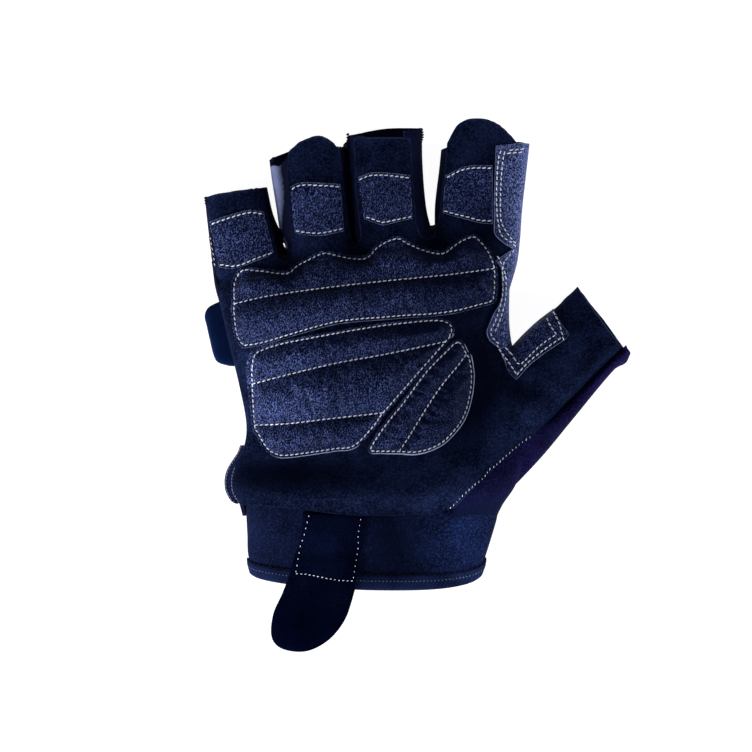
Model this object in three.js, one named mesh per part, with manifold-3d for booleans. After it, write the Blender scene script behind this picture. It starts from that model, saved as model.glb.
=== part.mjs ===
// Weightlifting glove for the right hand with half fingers, lying palm up.
// Millimetres. +X points to the thumb's side, +Y to the fingertips, +Z up out of the palm.
// The origin is on the resting surface, under the middle of the glove.

import * as THREE from 'three';
import { mergeVertices } from 'three/addons/utils/BufferGeometryUtils.js';
import { TessellateModifier } from 'three/addons/modifiers/TessellateModifier.js';
import Module from 'manifold-3d';

// Driving dimensions

const wall = 1.4; // suede, stretch cloth and fourchettes
const gap = 0.3; // left between pieces that are sewn face to face
const partingHeight = 7; // seam between the back of the hand and everything above it
const patchThickness = 1.2; // leather grip patches
const neoprene = 1.8; // cuff wall
const binding = 0.9; // knitted binding on the cuff's edge
const bindingWidth = 5.4; // how far the binding reaches up the cuff
const stitchMargin = 0.9; // leather left outside a stitch line
const padEdge = 1.7; // pad thickness along its stitches
const padRise = 2.2; // extra thickness in the middle of a padded cell
const padShoulder = 5; // distance over which a cell rises
const sunk = 1.2; // depth that a sheet is drawn into the hand before the hand is cut out of it
const padGrid = 6.2; // longest edge of a pad's surface
const tabThickness = 1.6; // pull tab and back tab
const strapThickness = 1.9;
const openEnd = 5; // how far a hollow runs out past its mouth
const reach = 90; // larger than the glove's half size

const colours = {
  suede: 0x14182e,
  leather: 0x2a3354,
  stretch: 0x26264a,
  neoprene: 0x1d2445,
  microfibre: 0x101223,
};

// Tables

function table(columns, rows) {
  return rows.map((row) => Object.fromEntries(columns.map((column, index) => [column, row[index]])));
}

// One row for each cross-section of a hollow limb: the ends of its width, its lowest and highest
// level, and how square it is, where 2 is an ellipse.
const sectionColumns = ['leftX', 'leftY', 'rightX', 'rightY', 'low', 'high', 'squareness'];

const palmRows = table(sectionColumns, [
  [-60.4, -46.5, 29.2, -46.5, 2.3, 28.4, 2.7],
  [-61.6, -42, 31, -42, 2.3, 29, 2.7],
  [-64.1, -35.5, 35, -35.5, 2.3, 29.4, 2.7],
  [-62.8, -28, 38, -28, 2.3, 29.4, 2.7],
  [-59.8, -21, 39.8, -21, 2.3, 29.2, 2.7],
  [-59.3, -13, 40.1, -13, 0, 29.4, 2.8],
  [-61.8, 0, 38, 0, 0, 29.6, 2.8],
  [-65.2, 14, 33.2, 15, 0, 29, 2.8],
  [-68, 26, 32.6, 30, 0, 27.4, 2.8],
  [-70.2, 34, 34.8, 48, 0, 24, 2.8],
  [-71.3, 41.7, 36, 61, 0, 17, 2.8],
]);

const littleRows = table(sectionColumns, [
  [-67.9, 29.4, -41.8, 32.9, 0, 21.5, 2.7],
  [-71.3, 43, -45, 46, 0, 19.5, 2.7],
  [-73, 55.6, -48.8, 58.8, 0, 18, 2.7],
  [-74, 65.5, -51.6, 68.9, 0, 17, 2.7],
  [-74.9, 73.1, -53.7, 76.6, 0, 17, 2.7],
]);

const ringRows = table(sectionColumns, [
  [-43.2, 32.9, -18.7, 36.4, 0, 23, 2.7],
  [-44.1, 47, -21.2, 50, 0, 21.6, 2.7],
  [-47, 59.5, -22.6, 62, 0, 20.6, 2.7],
  [-50.2, 74, -24.2, 78, 0, 19.6, 2.7],
  [-51.7, 86, -25, 91.5, 0, 19, 2.7],
]);

const middleRows = table(sectionColumns, [
  [-18.2, 35.7, 7.2, 37, 0, 24, 2.7],
  [-20.5, 49, 6.4, 51, 0, 22.6, 2.7],
  [-21.9, 62, 4.4, 62.5, 0, 21.4, 2.7],
  [-23.4, 80, 3.1, 80, 0, 20.2, 2.7],
  [-23.9, 95.2, 3, 96.6, 0, 20, 2.7],
]);

const indexRows = table(sectionColumns, [
  [8, 32.9, 34, 32.9, 0, 24, 2.7],
  [7, 50, 36, 50, 0, 22.4, 2.7],
  [6.8, 62, 36.8, 61, 0, 21, 2.7],
  [8.6, 78, 39, 78, 0, 19.6, 2.7],
  [10.4, 97.6, 41.2, 99.4, 0, 19, 2.7],
]);

const thumbRows = table(sectionColumns, [
  [8.6, -22.6, 32.4, -39.4, 2.3, 27, 2.6],
  [19.1, -4.9, 43.6, -26.2, 0, 27, 2.6],
  [30, 8.6, 54.6, -13, 0, 25.4, 2.6],
  [40.4, 20.2, 63.8, -1.8, 0, 22.6, 2.6],
  [49.4, 27.4, 69.3, 3.9, 0, 20.6, 2.6],
  [56.5, 33.6, 74.6, 11, 0, 19.2, 2.6],
  [62.8, 40.6, 80.3, 17.8, 0, 19, 2.6],
]);

const cuffRows = table(sectionColumns, [
  [-57.4, -69.6, 24, -66.6, 1.6, 25.6, 2.7],
  [-58.1, -61, 25.4, -61, 1.6, 25.9, 2.7],
  [-58.5, -53, 26.6, -53, 1.8, 26.2, 2.7],
  [-58.2, -47, 26.8, -47, 4.5, 26.4, 2.7],
  [-58.4, -41.4, 27.6, -41.4, 4.5, 26.6, 2.7],
]);
const cuffSag = 3.4; // the cuff's edge bows out between its two sides

// Hollows and swellings of the palm side. A hollow has a positive depth, turn is in degrees.
const dents = table(
  ['x', 'y', 'reachX', 'reachY', 'turn', 'depth'],
  [
    [23, -2, 7, 22, -12, 2.6], // between the thumb pad and the thumb
    [40, -1, 3.5, 10, 65, 2.2], // soft fold at the thumb's root
    [-12, -26, 40, 5, 4, 1.6], // crease above the wrist
    [-24, 44, 60, 4, -170, 1], // crease across the finger roots
  ],
);

// How finely each limb is drawn: sides of its section, and steps from one row to the next.
const limbs = {
  palm: { rows: palmRows, sides: 24, steps: 2, opensAtStart: true },
  little: { rows: littleRows, sides: 16, steps: 1, opensAtEnd: true },
  ring: { rows: ringRows, sides: 16, steps: 1, opensAtEnd: true },
  middle: { rows: middleRows, sides: 16, steps: 1, opensAtEnd: true },
  index: { rows: indexRows, sides: 16, steps: 1, opensAtEnd: true },
  thumb: { rows: thumbRows, sides: 16, steps: 2, opensAtEnd: true },
};
const cuffLimb = { rows: cuffRows, sides: 24, steps: 1, sag: cuffSag, opensAtStart: true, opensAtEnd: true };

// Outlines seen from above. Each is a closed line made of runs; a run marked curved is rounded.

const handFront = [
  { points: [[-reach, 65.4], [-74, 65.4], [-53.7, 68.6], [-48.8, 46.9]] },
  { curved: true, points: [[-47.6, 43.8], [-45, 42.4], [-42.6, 44.2]] },
  { points: [[-41.8, 49], [-44.4, 75.6], [-43.9, 81.2]] },
  { curved: true, points: [[-40.4, 84.7], [-34.3, 86.8], [-29.9, 85.4], [-26.8, 82.6]] },
  { points: [[-24.8, 66], [-22.8, 51.4], [-20.9, 47.4], [-18.9, 51.4], [-20.9, 68], [-21.5, 85.8]] },
  { points: [[-1.9, 85.8], [-0.9, 67.9], [0.2, 55.3]] },
  { curved: true, points: [[1.6, 51.8], [4, 50.5], [6.6, 51.8]] },
  { points: [[8.4, 59], [10.4, 75]] },
  { curved: true, points: [[11, 84.5], [14.9, 91.2], [21, 93.1], [28.4, 91.2], [35.5, 84.4]] },
  { points: [[reach, 84.4], [reach, 60], [44, 30], [54.6, 36.2], [56.7, 33.4], [66.7, 19.2], [72.3, 12.2]] },
  { points: [[64.6, 5.2], [56.9, -2.8], [49.2, -10.5], [40.1, -18.5], [29.6, -27.3]] },
  { points: [[20.5, -36], [13.8, -43]] },
  { curved: true, points: [[5.1, -45.2], [-21.2, -45.7], [-42.9, -43.2], [-56.5, -42.3], [-reach, -41.8]] },
];

const handBack = [
  { points: [[-reach, -46.2], [-reach, 64.8], [-74, 65.2], [-51.6, 68.9], [-50, 72], [-52.6, 77.2]] },
  { points: [[-43.9, 81.2], [-24.4, 83.2], [-23.7, 87.4], [-10.7, 89.9]] },
  { points: [[1.6, 89.9], [5.1, 89], [6.6, 81.4]] },
  { points: [[22.6, 82.2], [reach, 84.8], [reach, 60], [47, 37], [54.6, 36.8], [66.4, 22.6], [75, 10.6]] },
  { points: [[reach, 4], [reach, -46.2]] },
];

const thumbOuterSide = [
  { points: [[12.6, -45.6], [reach, -44.4], [reach, 2], [75.6, 9.8], [72.6, 12.4]] },
  { points: [[60, 8], [20, -30], [8, -43]] },
];

const fourchetteRegions = {
  fourchette_little_ring: [[-56, 68.3], [-49, 73.4], [-43.7, 81], [-40, 60], [-41, 38], [-50, 38]],
  fourchette_ring_middle: [[-30, 82.4], [-24.2, 83], [-23.5, 87], [-18, 86.6], [-18, 42], [-26, 42]],
  fourchette_middle_index: [[-4, 88.4], [4.4, 88.4], [7, 81.6], [12, 83], [12, 45], [-4, 45]],
};

// Finger grip patches, one row for each corner of the patch, and the bow of its two long edges.
const gripColumns = ['topLeft', 'topMiddle', 'topRight', 'bottomRight', 'bottomMiddle', 'bottomLeft'];
const gripRows = table(['name', ...gripColumns], [
  ['grip_little', [-71.7, 56.2], [-61.4, 60.2], [-53.4, 60.4], [-49.4, 47.2], [-57, 42.9], [-68, 40.9]],
  ['grip_ring', [-43.4, 67.6], [-34, 70], [-26.8, 69], [-24.5, 53.9], [-33.8, 51.8], [-42.3, 53.3]],
  ['grip_middle', [-19.6, 71.6], [-11.5, 74.2], [-2.2, 72.8], [-1, 57.5], [-10.6, 54.9], [-18.4, 58]],
  ['grip_index', [11, 71.4], [18, 75.6], [27, 76], [26.8, 55.8], [18.4, 56.4], [9.6, 59.8]],
]);

const indexSideOutline = [
  { points: [[28, 83], [45, 84.2], [45, 56], [39, 47], [38.4, 35], [37.4, 25], [35.4, 18], [33.4, 14.4]] },
  { points: [[32, 13.2], [29, 12.4], [25.8, 15]] },
  { curved: true, points: [[24.4, 18], [27.1, 24.9], [29.7, 31], [29.8, 40], [27.7, 43]] },
  { points: [[33.6, 47.2], [28.4, 50.7], [27.2, 52.8], [27, 67], [27.6, 75]] },
];

const thumbCrotchOutline = [
  { points: [[28.6, 12.6], [33.4, 14.4], [36, 18], [39, 27], [45, 31], [48.4, 26.6]] },
  { curved: true, points: [[51, 22], [53.4, 17.3], [51.4, 14.7]] },
  { points: [[45.6, 10.7], [39.8, 5.7], [35.2, 1.4], [32.3, 4.5], [30, 8.6]] },
];

// Padded leather. A pad is a stack of cells between sewn channels, so each has one line more than
// it has cells. The lines are stitch lines, and every line runs the same way.

const knucklePadLines = [
  [[-62.9, 35.4], [-61, 38.6], [-58, 39.5], [-47.4, 38.3], [-40.6, 41.2], [-31.9, 45.8], [-22, 43.8],
    [-12.4, 48.3], [-6, 50.6], [1.8, 46.4], [10.3, 45.6], [14.4, 48.6], [20.8, 51.2], [25.6, 46.4],
    [27.6, 40.6]],
  [[-63.6, 27.8], [-52.7, 29.7], [-35.2, 32.9], [-12.4, 35.8], [10.7, 38], [19.4, 39.3], [27.9, 39]],
  [[-63.6, 20], [-62, 15.6], [-59.4, 13.8], [-49.2, 16.3], [-39.5, 18.9], [-28, 21.7], [-13, 23.2],
    [-0.9, 23.9], [10.8, 24.8], [19, 26.2], [26.6, 28.6]],
];

const heelPadLines = [
  [[-57, 5.6], [-56.2, 9.8], [-54, 11.6], [-47.4, 13.8], [-39.7, 15.4], [-19.4, 19.1], [-6.7, 20.9],
    [6.8, 22.1], [12, 21], [13, 18.9], [11.8, 16.4]],
  [[-57, 0], [-43.2, 3.6], [-28, 7.2], [-13.6, 9.8], [-1.6, 12.2], [10.4, 14.8]],
  [[-56.2, -14.3], [-45, -13.8], [-28, -11.8], [-11.4, -10]],
  [[-55.2, -16.6], [-51.8, -22.3], [-48.4, -24.4], [-45, -24.8], [-36.6, -23.7], [-28, -22.4], [-21.2, -21.2],
    [-13.4, -13]],
];

const thenarPadLines = [
  [[14.8, 14.6], [10.3, 10.9], [6, 6.7], [2.6, 2.8], [-4.6, -7], [-8.8, -12.1], [-13.1, -18], [-15.2, -22.6]],
  [[17.6, 10.4], [14.5, 6.2], [10.3, 1.2], [6.8, -3.6], [3.5, -8.7], [-2.6, -18.6], [-5.8, -23.4]],
  [
    [18.6, 8.8], [19.4, 2], [18.3, -6.1], [16.2, -12.1],
    [13.2, -16.3], [9.4, -20.1], [5.2, -22.3], [0, -23.6],
  ],
];

// Pull tab, back tab and strap

const pullTabOutline = [
  { points: [[-39.2, -45.1], [-40.2, -54.2], [-42.4, -61], [-44.3, -67.9]] },
  { curved: true, points: [[-46.4, -73.3], [-49.4, -80], [-50.1, -87.4], [-47.6, -91.4], [-42, -93],
    [-36, -92.2], [-29.4, -88], [-24.2, -81], [-21.2, -71.9]] },
  { points: [[-19.8, -63], [-18.4, -54.2], [-17.8, -46.4]] },
];
const tabRunsFreeBelow = -73.4; // the tab is sewn to the cuff above this level
const tabLowestPoint = -93;
const tabDroop = 8.5; // how far the free end sinks below the cuff
const [climbStart, climbEnd] = [59, 64.5]; // where the tab climbs over the binding, measured towards -Y
const hemStep = binding + gap;

const backTabOutline = [
  { points: [[-52, 28.6], [-60, 29]] },
  { curved: true, points: [[-70.7, 27.8], [-73.2, 24.4], [-72.8, 19.6], [-71.2, 13.4],
    [-69.6, 9.4], [-66.4, 7.6]] },
  { points: [[-60, 6.6], [-52, 6.4]] },
];
const backTabTilt = THREE.MathUtils.degToRad(8.5);
const backTabInner = { x: -52, z: 0.15 };

const strapBow = [[-61.2, -21.5], [-62.6, -24.5], [-65.2, -28.2], [-66.6, -32.6], [-66.5, -36], [-65, -40.4],
  [-62.8, -42]];
const strapTop = 14.5; // level of the strap's edge beside the wrist
const strapEnd = 6; // where its end lies under the back of the hand
const strapCorner = 9; // radius with which it turns under

// Solids

const wasm = await Module();
wasm.setup();

function toSolid(geometry) {
  const bare = geometry.clone();
  bare.deleteAttribute('normal');
  bare.deleteAttribute('uv');
  const merged = mergeVertices(bare, 1e-4);
  return new wasm.Manifold(new wasm.Mesh({
    numProp: 3,
    vertProperties: merged.attributes.position.array,
    triVerts: Uint32Array.from(merged.index.array),
  }));
}

function toGeometry(solid) {
  const mesh = solid.getMesh();
  const geometry = new THREE.BufferGeometry();
  geometry.setAttribute('position', new THREE.BufferAttribute(mesh.vertProperties, 3));
  geometry.setIndex(new THREE.BufferAttribute(mesh.triVerts, 1));
  geometry.computeVertexNormals();
  return geometry;
}

function join(solids) {
  return solids.reduce((whole, next) => whole.add(next));
}

// A rounded run gets this many points for each point it is given.
const pointsPerCurvePoint = 2;

function outline(runs) {
  return runs.flatMap(({ points, curved }) => {
    if (!curved) return points;
    const curve = new THREE.SplineCurve(points.map(([x, y]) => new THREE.Vector2(x, y)));
    return curve.getPoints((points.length - 1) * pointsPerCurvePoint).map(({ x, y }) => [x, y]);
  });
}

// Moves every side of a closed outline outward by a distance.
function grown(points, distance) {
  const clockwise = THREE.ShapeUtils.isClockWise(points.map(([x, y]) => new THREE.Vector2(x, y)));
  const side = clockwise ? -1 : 1;
  return points.map((point, index) => {
    const before = points[(index + points.length - 1) % points.length];
    const after = points[(index + 1) % points.length];
    const inward = new THREE.Vector2(point[0] - before[0], point[1] - before[1]).normalize();
    const outward = new THREE.Vector2(after[0] - point[0], after[1] - point[1]).normalize();
    const bisector = new THREE.Vector2(inward.y + outward.y, -inward.x - outward.x).normalize();
    const miter = Math.max(0.5, bisector.x * outward.y - bisector.y * outward.x);
    const step = (side * distance) / miter;
    return [point[0] + step * bisector.x, point[1] + step * bisector.y];
  });
}

function prism(points, low = -5, high = reach) {
  const shape = new THREE.Shape(points.map(([x, y]) => new THREE.Vector2(x, y)));
  const geometry = new THREE.ExtrudeGeometry(shape, { depth: high - low, bevelEnabled: false });
  return toSolid(geometry.translate(0, 0, low));
}

function slab(low, high) {
  const geometry = new THREE.BoxGeometry(4 * reach, 4 * reach, high - low);
  return toSolid(geometry.translate(0, 0, (low + high) / 2));
}

function dentDepth(x, y) {
  return dents.reduce((sum, dent) => {
    const offset = new THREE.Vector2(x - dent.x, y - dent.y);
    offset.rotateAround(new THREE.Vector2(), -THREE.MathUtils.degToRad(dent.turn));
    return sum + dent.depth * Math.exp(-((offset.x / dent.reachX) ** 2) - (offset.y / dent.reachY) ** 2);
  }, 0);
}

// A closed cylinder bent to a limb's rows. grow moves its skin and its closed ends outward; extra
// runs its open ends out past their mouths.
function limb({ rows, sides, steps, sag = 0, opensAtStart, opensAtEnd }, grow, extra = 0) {
  const left = new THREE.SplineCurve(rows.map((row) => new THREE.Vector2(row.leftX, row.leftY)));
  const right = new THREE.SplineCurve(rows.map((row) => new THREE.Vector2(row.rightX, row.rightY)));
  const levels = rows.map((row) => new THREE.Vector3(row.low, row.high, row.squareness));
  const profile = new THREE.CatmullRomCurve3(levels, false, 'catmullrom', 0.5);
  const floor = rows.map((row) => row.low);
  const halfSide = Math.PI / sides;
  const geometry = new THREE.CylinderGeometry(1, 1, 1, sides, (rows.length - 1) * steps, false, halfSide);
  const position = geometry.attributes.position;
  for (let index = 0; index < position.count; index += 1) {
    const along = position.getY(index) + 0.5;
    const [l, r, levelsHere] = [left.getPoint(along), right.getPoint(along), profile.getPoint(along)];
    const low = Math.max(levelsHere.x, Math.min(...floor));
    const { y: high, z: squareness } = levelsHere;
    const bend = (value) => Math.sign(value) * Math.abs(value) ** (2 / squareness);
    const across = bend(position.getX(index));
    const up = bend(position.getZ(index));
    const halfWidth = r.distanceTo(l) / 2;
    const widthways = r.clone().sub(l).normalize();
    const lengthways = new THREE.Vector2(-widthways.y, widthways.x);
    const place = l.clone().add(r).multiplyScalar(0.5);
    place.addScaledVector(widthways, across * (halfWidth + grow));
    if (along < 0.001) place.addScaledVector(lengthways, -(opensAtStart ? extra : grow));
    if (along > 0.999) place.addScaledVector(lengthways, opensAtEnd ? extra : grow);
    place.addScaledVector(lengthways, -sag * (1 - across * across) * (1 - along));
    // The underside is pressed flat: its round is drawn one millimetre lower than it may reach.
    const pressed = 1;
    const middle = (low - pressed + high) / 2;
    const halfHeight = (high - low + pressed) / 2;
    const dent = up > 0 ? dentDepth(place.x, place.y) * up : 0;
    const height = middle + up * (halfHeight + grow) - dent;
    position.setXYZ(index, place.x, place.y, Math.max(height, low - grow));
  }
  return toSolid(geometry);
}

// The whole hand as one solid, with its skin moved outward by grow.
function hand(grow) {
  return join(Object.values(limbs).map((shape) => limb(shape, grow)));
}

// The room for the hand. It shows little, so it is drawn with fewer sides.
function hollow() {
  return join(Object.values(limbs).map((shape) => limb({ ...shape, sides: 12, steps: 1 }, -wall, openEnd)));
}

const handShell = hand(0).subtract(hollow());
const clearOfHand = hand(gap);
const overHand = hand(gap + patchThickness);
const upperHand = handShell.intersect(slab(partingHeight + gap / 2, reach));
const lowerHand = handShell.intersect(slab(-5, partingHeight - gap / 2));
const frontOutline = outline(handFront);
const clearOfFront = prism(grown(frontOutline, gap));

// A patch that follows the hand's skin, from a level up.
function coat(points, fromLevel) {
  return overHand.intersect(prism(points, fromLevel)).subtract(clearOfHand);
}

// Height of the highest surface of a solid over a point, or a fallback beside it.
function heightOver(solid) {
  const mesh = new THREE.Mesh(toGeometry(solid), new THREE.MeshBasicMaterial({ side: THREE.DoubleSide }));
  const down = new THREE.Vector3(0, 0, -1);
  const caster = new THREE.Raycaster();
  return (x, y, fallback) => {
    caster.set(new THREE.Vector3(x, y, reach), down);
    const hits = caster.intersectObject(mesh);
    return hits.length ? reach - hits[0].distance : fallback;
  };
}

// A sheet with an outline, whose under and upper side follow two functions of x and y.
function drapedSheet(points, underside, upperside, grid) {
  const shape = new THREE.Shape(points.map(([x, y]) => new THREE.Vector2(x, y)));
  const flat = new THREE.ExtrudeGeometry(shape, { depth: 1, bevelEnabled: false });
  const geometry = new TessellateModifier(grid, 30).modify(flat);
  const position = geometry.attributes.position;
  for (let index = 0; index < position.count; index += 1) {
    const [x, y, z] = [position.getX(index), position.getY(index), position.getZ(index)];
    const [low, high] = [underside(x, y), upperside(x, y)];
    position.setZ(index, low + (high - low) * z);
  }
  return toSolid(geometry);
}

function distanceToOutline(points, x, y) {
  const spot = new THREE.Vector3(x, y, 0);
  const nearest = new THREE.Vector3();
  return Math.min(...points.map((point, index) => {
    const next = points[(index + 1) % points.length];
    const side = new THREE.Line3(new THREE.Vector3(...point, 0), new THREE.Vector3(...next, 0));
    return side.closestPointToPoint(spot, true, nearest).distanceTo(spot);
  }));
}

// Two stitch lines enclose a cell. The leather lies flat outside its stitches and swells between them.
function padCell(firstLine, secondLine, heightOverHand) {
  const cell = grown([...firstLine, ...[...secondLine].reverse()], stitchMargin);
  const rise = (x, y) => {
    const fromStitches = distanceToOutline(cell, x, y) - stitchMargin;
    const inside = THREE.MathUtils.clamp(fromStitches / padShoulder, 0, 1);
    return padRise * Math.sqrt(1 - (1 - inside) ** 2);
  };
  const seat = (x, y) => heightOverHand(x, y, partingHeight);
  return drapedSheet(cell, (x, y) => seat(x, y) - sunk, (x, y) => seat(x, y) + padEdge + rise(x, y), padGrid);
}

function padCells(lines, heightOverHand) {
  return lines.slice(1).map((line, index) => padCell(lines[index], line, heightOverHand));
}

// Pieces

const pieces = {};

function addPiece(name, solid, colour, roughness = 0.85) {
  pieces[name] = { solid, colour, roughness };
}

addPiece('palm_panel', upperHand.intersect(prism(frontOutline)), colours.suede);
addPiece('back_panel', lowerHand.intersect(prism(outline(handBack))), colours.stretch);
addPiece(
  'side_panel',
  upperHand.intersect(prism(outline(thumbOuterSide))).subtract(clearOfFront),
  colours.stretch,
);
for (const [name, region] of Object.entries(fourchetteRegions)) {
  addPiece(name, upperHand.intersect(prism(region)).subtract(clearOfFront), colours.stretch);
}

for (const { name, topLeft, topMiddle, topRight, bottomRight, bottomMiddle, bottomLeft } of gripRows) {
  const edge = [
    { curved: true, points: [topLeft, topMiddle, topRight] },
    { curved: true, points: [bottomRight, bottomMiddle, bottomLeft] },
  ];
  addPiece(name, coat(outline(edge), partingHeight + 2), colours.leather);
}

const heightOverHand = heightOver(clearOfHand);
const padLines = { knuckle_pad: knucklePadLines, heel_pad: heelPadLines, thenar_pad: thenarPadLines };
for (const [name, lines] of Object.entries(padLines)) {
  addPiece(name, join(padCells(lines, heightOverHand)).subtract(clearOfHand), colours.leather);
}

// The leather edges of two pieces that meet lie side by side.
const knuckleEdge = [...knucklePadLines[0], ...[...knucklePadLines.at(-1)].reverse()];
const sidePatch = coat(outline(indexSideOutline), 5)
  .subtract(prism(grown(knuckleEdge, stitchMargin + gap)));
addPiece('index_side_patch', sidePatch, colours.leather);
const crotchPatch = coat(outline(thumbCrotchOutline), 6)
  .subtract(prism(grown(outline(indexSideOutline), gap)));
addPiece('thumb_crotch_patch', crotchPatch, colours.leather);

// Cuff, its binding and the pull tab

const cuffInside = limb(cuffLimb, -neoprene, openEnd);
addPiece('cuff_band', limb(cuffLimb, 0).subtract(cuffInside), colours.neoprene, 0.7);

const bindingOuter = limb(cuffLimb, gap + binding, gap + binding);
const bindingHole = limb(cuffLimb, -neoprene - gap - binding, 2 * openEnd);
const clearOfCuff = limb(cuffLimb, gap, gap).subtract(limb(cuffLimb, -neoprene - gap, openEnd));
const { leftX, leftY, rightX, rightY } = cuffRows[0];
const cuffMiddle = [(leftX + rightX) / 2, (leftY + rightY) / 2 - cuffSag];
const bindingTop = outline([
  { points: [[-reach, leftY], [leftX, leftY]] },
  { curved: true, points: [[leftX, leftY], cuffMiddle, [rightX, rightY]] },
  { points: [[reach, rightY]] },
]).map(([x, y]) => [x, y + bindingWidth]);
const bindingBand = prism([[-reach, -reach], ...bindingTop, [reach, -reach]]);
addPiece(
  'cuff_hem',
  bindingOuter.intersect(bindingBand).subtract(bindingHole).subtract(clearOfCuff),
  colours.neoprene,
);

const heightOverCuff = heightOver(limb(cuffLimb, gap));
const seatOnCuff = (x, y) => {
  const climb = THREE.MathUtils.smoothstep(-y, climbStart, climbEnd) * hemStep;
  const past = Math.max(tabRunsFreeBelow - y, 0) / (tabRunsFreeBelow - tabLowestPoint);
  const onCuff = heightOverCuff(x, Math.max(y, -climbEnd), cuffRows[0].high);
  return onCuff + gap / 4 + climb - tabDroop * past * past;
};
const pullTab = drapedSheet(
  outline(pullTabOutline),
  seatOnCuff,
  (x, y) => seatOnCuff(x, y) + tabThickness,
  padGrid,
);
addPiece('pull_tab', pullTab.subtract(clearOfFront), colours.microfibre, 0.6);

// Back tab and wrist strap

const backTabFlat = new THREE.ExtrudeGeometry(
  new THREE.Shape(outline(backTabOutline).map(([x, y]) => new THREE.Vector2(x - backTabInner.x, y))),
  { depth: tabThickness, bevelEnabled: false },
);
backTabFlat.rotateY(backTabTilt).translate(backTabInner.x, 0, backTabInner.z);
addPiece('back_tab', toSolid(backTabFlat).subtract(clearOfHand), colours.neoprene, 0.6);

// The strap's section, from its edge beside the wrist down and round under the hand, follows the bow.
function strapSolid() {
  const side = new THREE.Shape();
  const inner = strapCorner - strapThickness;
  const strapLength = strapEnd - strapBow[0][0];
  side.moveTo(0, strapTop);
  side.lineTo(0, strapCorner);
  side.absarc(strapCorner, strapCorner, strapCorner, Math.PI, 1.5 * Math.PI, false);
  side.lineTo(strapLength, 0);
  side.lineTo(strapLength, strapThickness);
  side.lineTo(strapCorner, strapThickness);
  side.absarc(strapCorner, strapCorner, inner, 1.5 * Math.PI, Math.PI, true);
  side.lineTo(strapThickness, strapTop);
  const bow = new THREE.SplineCurve(strapBow.map(([x, y]) => new THREE.Vector2(x, y)));
  const width = strapBow[0][1] - strapBow.at(-1)[1];
  const geometry = new THREE.ExtrudeGeometry(side, {
    depth: width,
    steps: 8,
    curveSegments: 5,
    bevelEnabled: false,
  });
  const position = geometry.attributes.position;
  for (let index = 0; index < position.count; index += 1) {
    const [fromEdge, level, across] = [position.getX(index), position.getY(index), position.getZ(index)];
    const spot = bow.getPoint(across / width);
    const x = fromEdge > strapCorner ? strapEnd : spot.x + fromEdge;
    position.setXYZ(index, x, spot.y, level);
  }
  return toSolid(geometry);
}

addPiece('wrist_strap', strapSolid().subtract(clearOfHand), colours.neoprene);

const glove = new THREE.Group();
for (const [name, { solid, colour, roughness }] of Object.entries(pieces)) {
  const material = new THREE.MeshStandardMaterial({ color: colour, roughness, metalness: 0 });
  const mesh = new THREE.Mesh(toGeometry(solid), material);
  mesh.name = name;
  glove.add(mesh);
}

export default glove;
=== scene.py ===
"""Dresses the weightlifting glove: right hand, half fingers, lying palm up.

Tables are in millimetres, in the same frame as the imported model: +X to the thumb's side, +Y to the
fingertips, +Z up out of the palm. Meshes are in metres.
"""
import logging
import math
from dataclasses import dataclass, field
from enum import Enum
from typing import Callable, NamedTuple, Sequence

import bpy
import numpy as np
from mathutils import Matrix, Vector, noise
from mathutils.geometry import delaunay_2d_cdt


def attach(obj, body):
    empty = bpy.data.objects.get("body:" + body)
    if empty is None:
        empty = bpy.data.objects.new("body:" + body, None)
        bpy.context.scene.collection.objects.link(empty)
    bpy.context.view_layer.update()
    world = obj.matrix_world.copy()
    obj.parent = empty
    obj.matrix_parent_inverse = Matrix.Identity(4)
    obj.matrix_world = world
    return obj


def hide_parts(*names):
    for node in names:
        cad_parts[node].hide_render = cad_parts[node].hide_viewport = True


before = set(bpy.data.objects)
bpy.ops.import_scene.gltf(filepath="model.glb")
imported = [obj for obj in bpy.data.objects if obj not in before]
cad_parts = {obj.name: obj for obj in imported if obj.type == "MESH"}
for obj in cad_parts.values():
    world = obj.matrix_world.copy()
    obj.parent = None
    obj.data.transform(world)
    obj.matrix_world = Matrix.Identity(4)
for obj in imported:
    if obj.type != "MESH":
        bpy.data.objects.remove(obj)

log = logging.getLogger("glove")
MM = 0.001
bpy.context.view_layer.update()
TINY = 1e-12
SAME_POINT = 1e-6
ON_LINE = 0.02
STRAIGHT = 1e-7
CURVE_STEPS = 24

Points = np.ndarray
Line = Sequence[tuple[float, float]]
Colour = tuple[float, float, float]
Piece = bpy.types.Object
Socket = bpy.types.NodeSocket
Inputs = dict[str | int, object]


class Section(NamedTuple):
    """One cross-section of a limb: the ends of its width, its levels and how square it is."""

    left_x: float
    left_y: float
    right_x: float
    right_y: float
    low: float
    high: float
    squareness: float = 2.6


PALM_ROWS = (
    Section(-60.4, -46.5, 28.4, -46.5, 2.3, 27.6),
    Section(-61.6, -42, 30.6, -42, 2.3, 29),
    Section(-64.1, -35.5, 34.9, -35.5, 2.3, 30),
    Section(-62.8, -28, 37.6, -28, 2.3, 29.4),
    Section(-59.8, -21, 39.8, -21, 2.3, 28.2),
    Section(-59.3, -13, 40.1, -13, 0, 28.6),
    Section(-61.8, 0, 38, 0, 0, 29.4),
    Section(-65.2, 14, 33.2, 15, 0, 29),
    Section(-68, 26, 32.5, 30, 0, 27.4),
    Section(-70.2, 34, 33.6, 48, 0, 24),
    Section(-71.3, 41.7, 35, 61, 0, 17),
)
LITTLE_ROWS = (
    Section(-67.9, 29.4, -41.8, 32.9, 0, 21.5),
    Section(-71.3, 43, -44.8, 45.6, 0, 19.5),
    Section(-71.7, 46.4, -46.3, 49, 0, 19),
    Section(-72.2, 50, -46.9, 52.4, 0, 18.6),
    Section(-73, 56.6, -49.9, 59.6, 0, 18),
    Section(-74, 65.5, -52, 68.9, 0, 17),
    Section(-74.9, 73.1, -53.7, 76.6, 0, 17),
)
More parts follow.
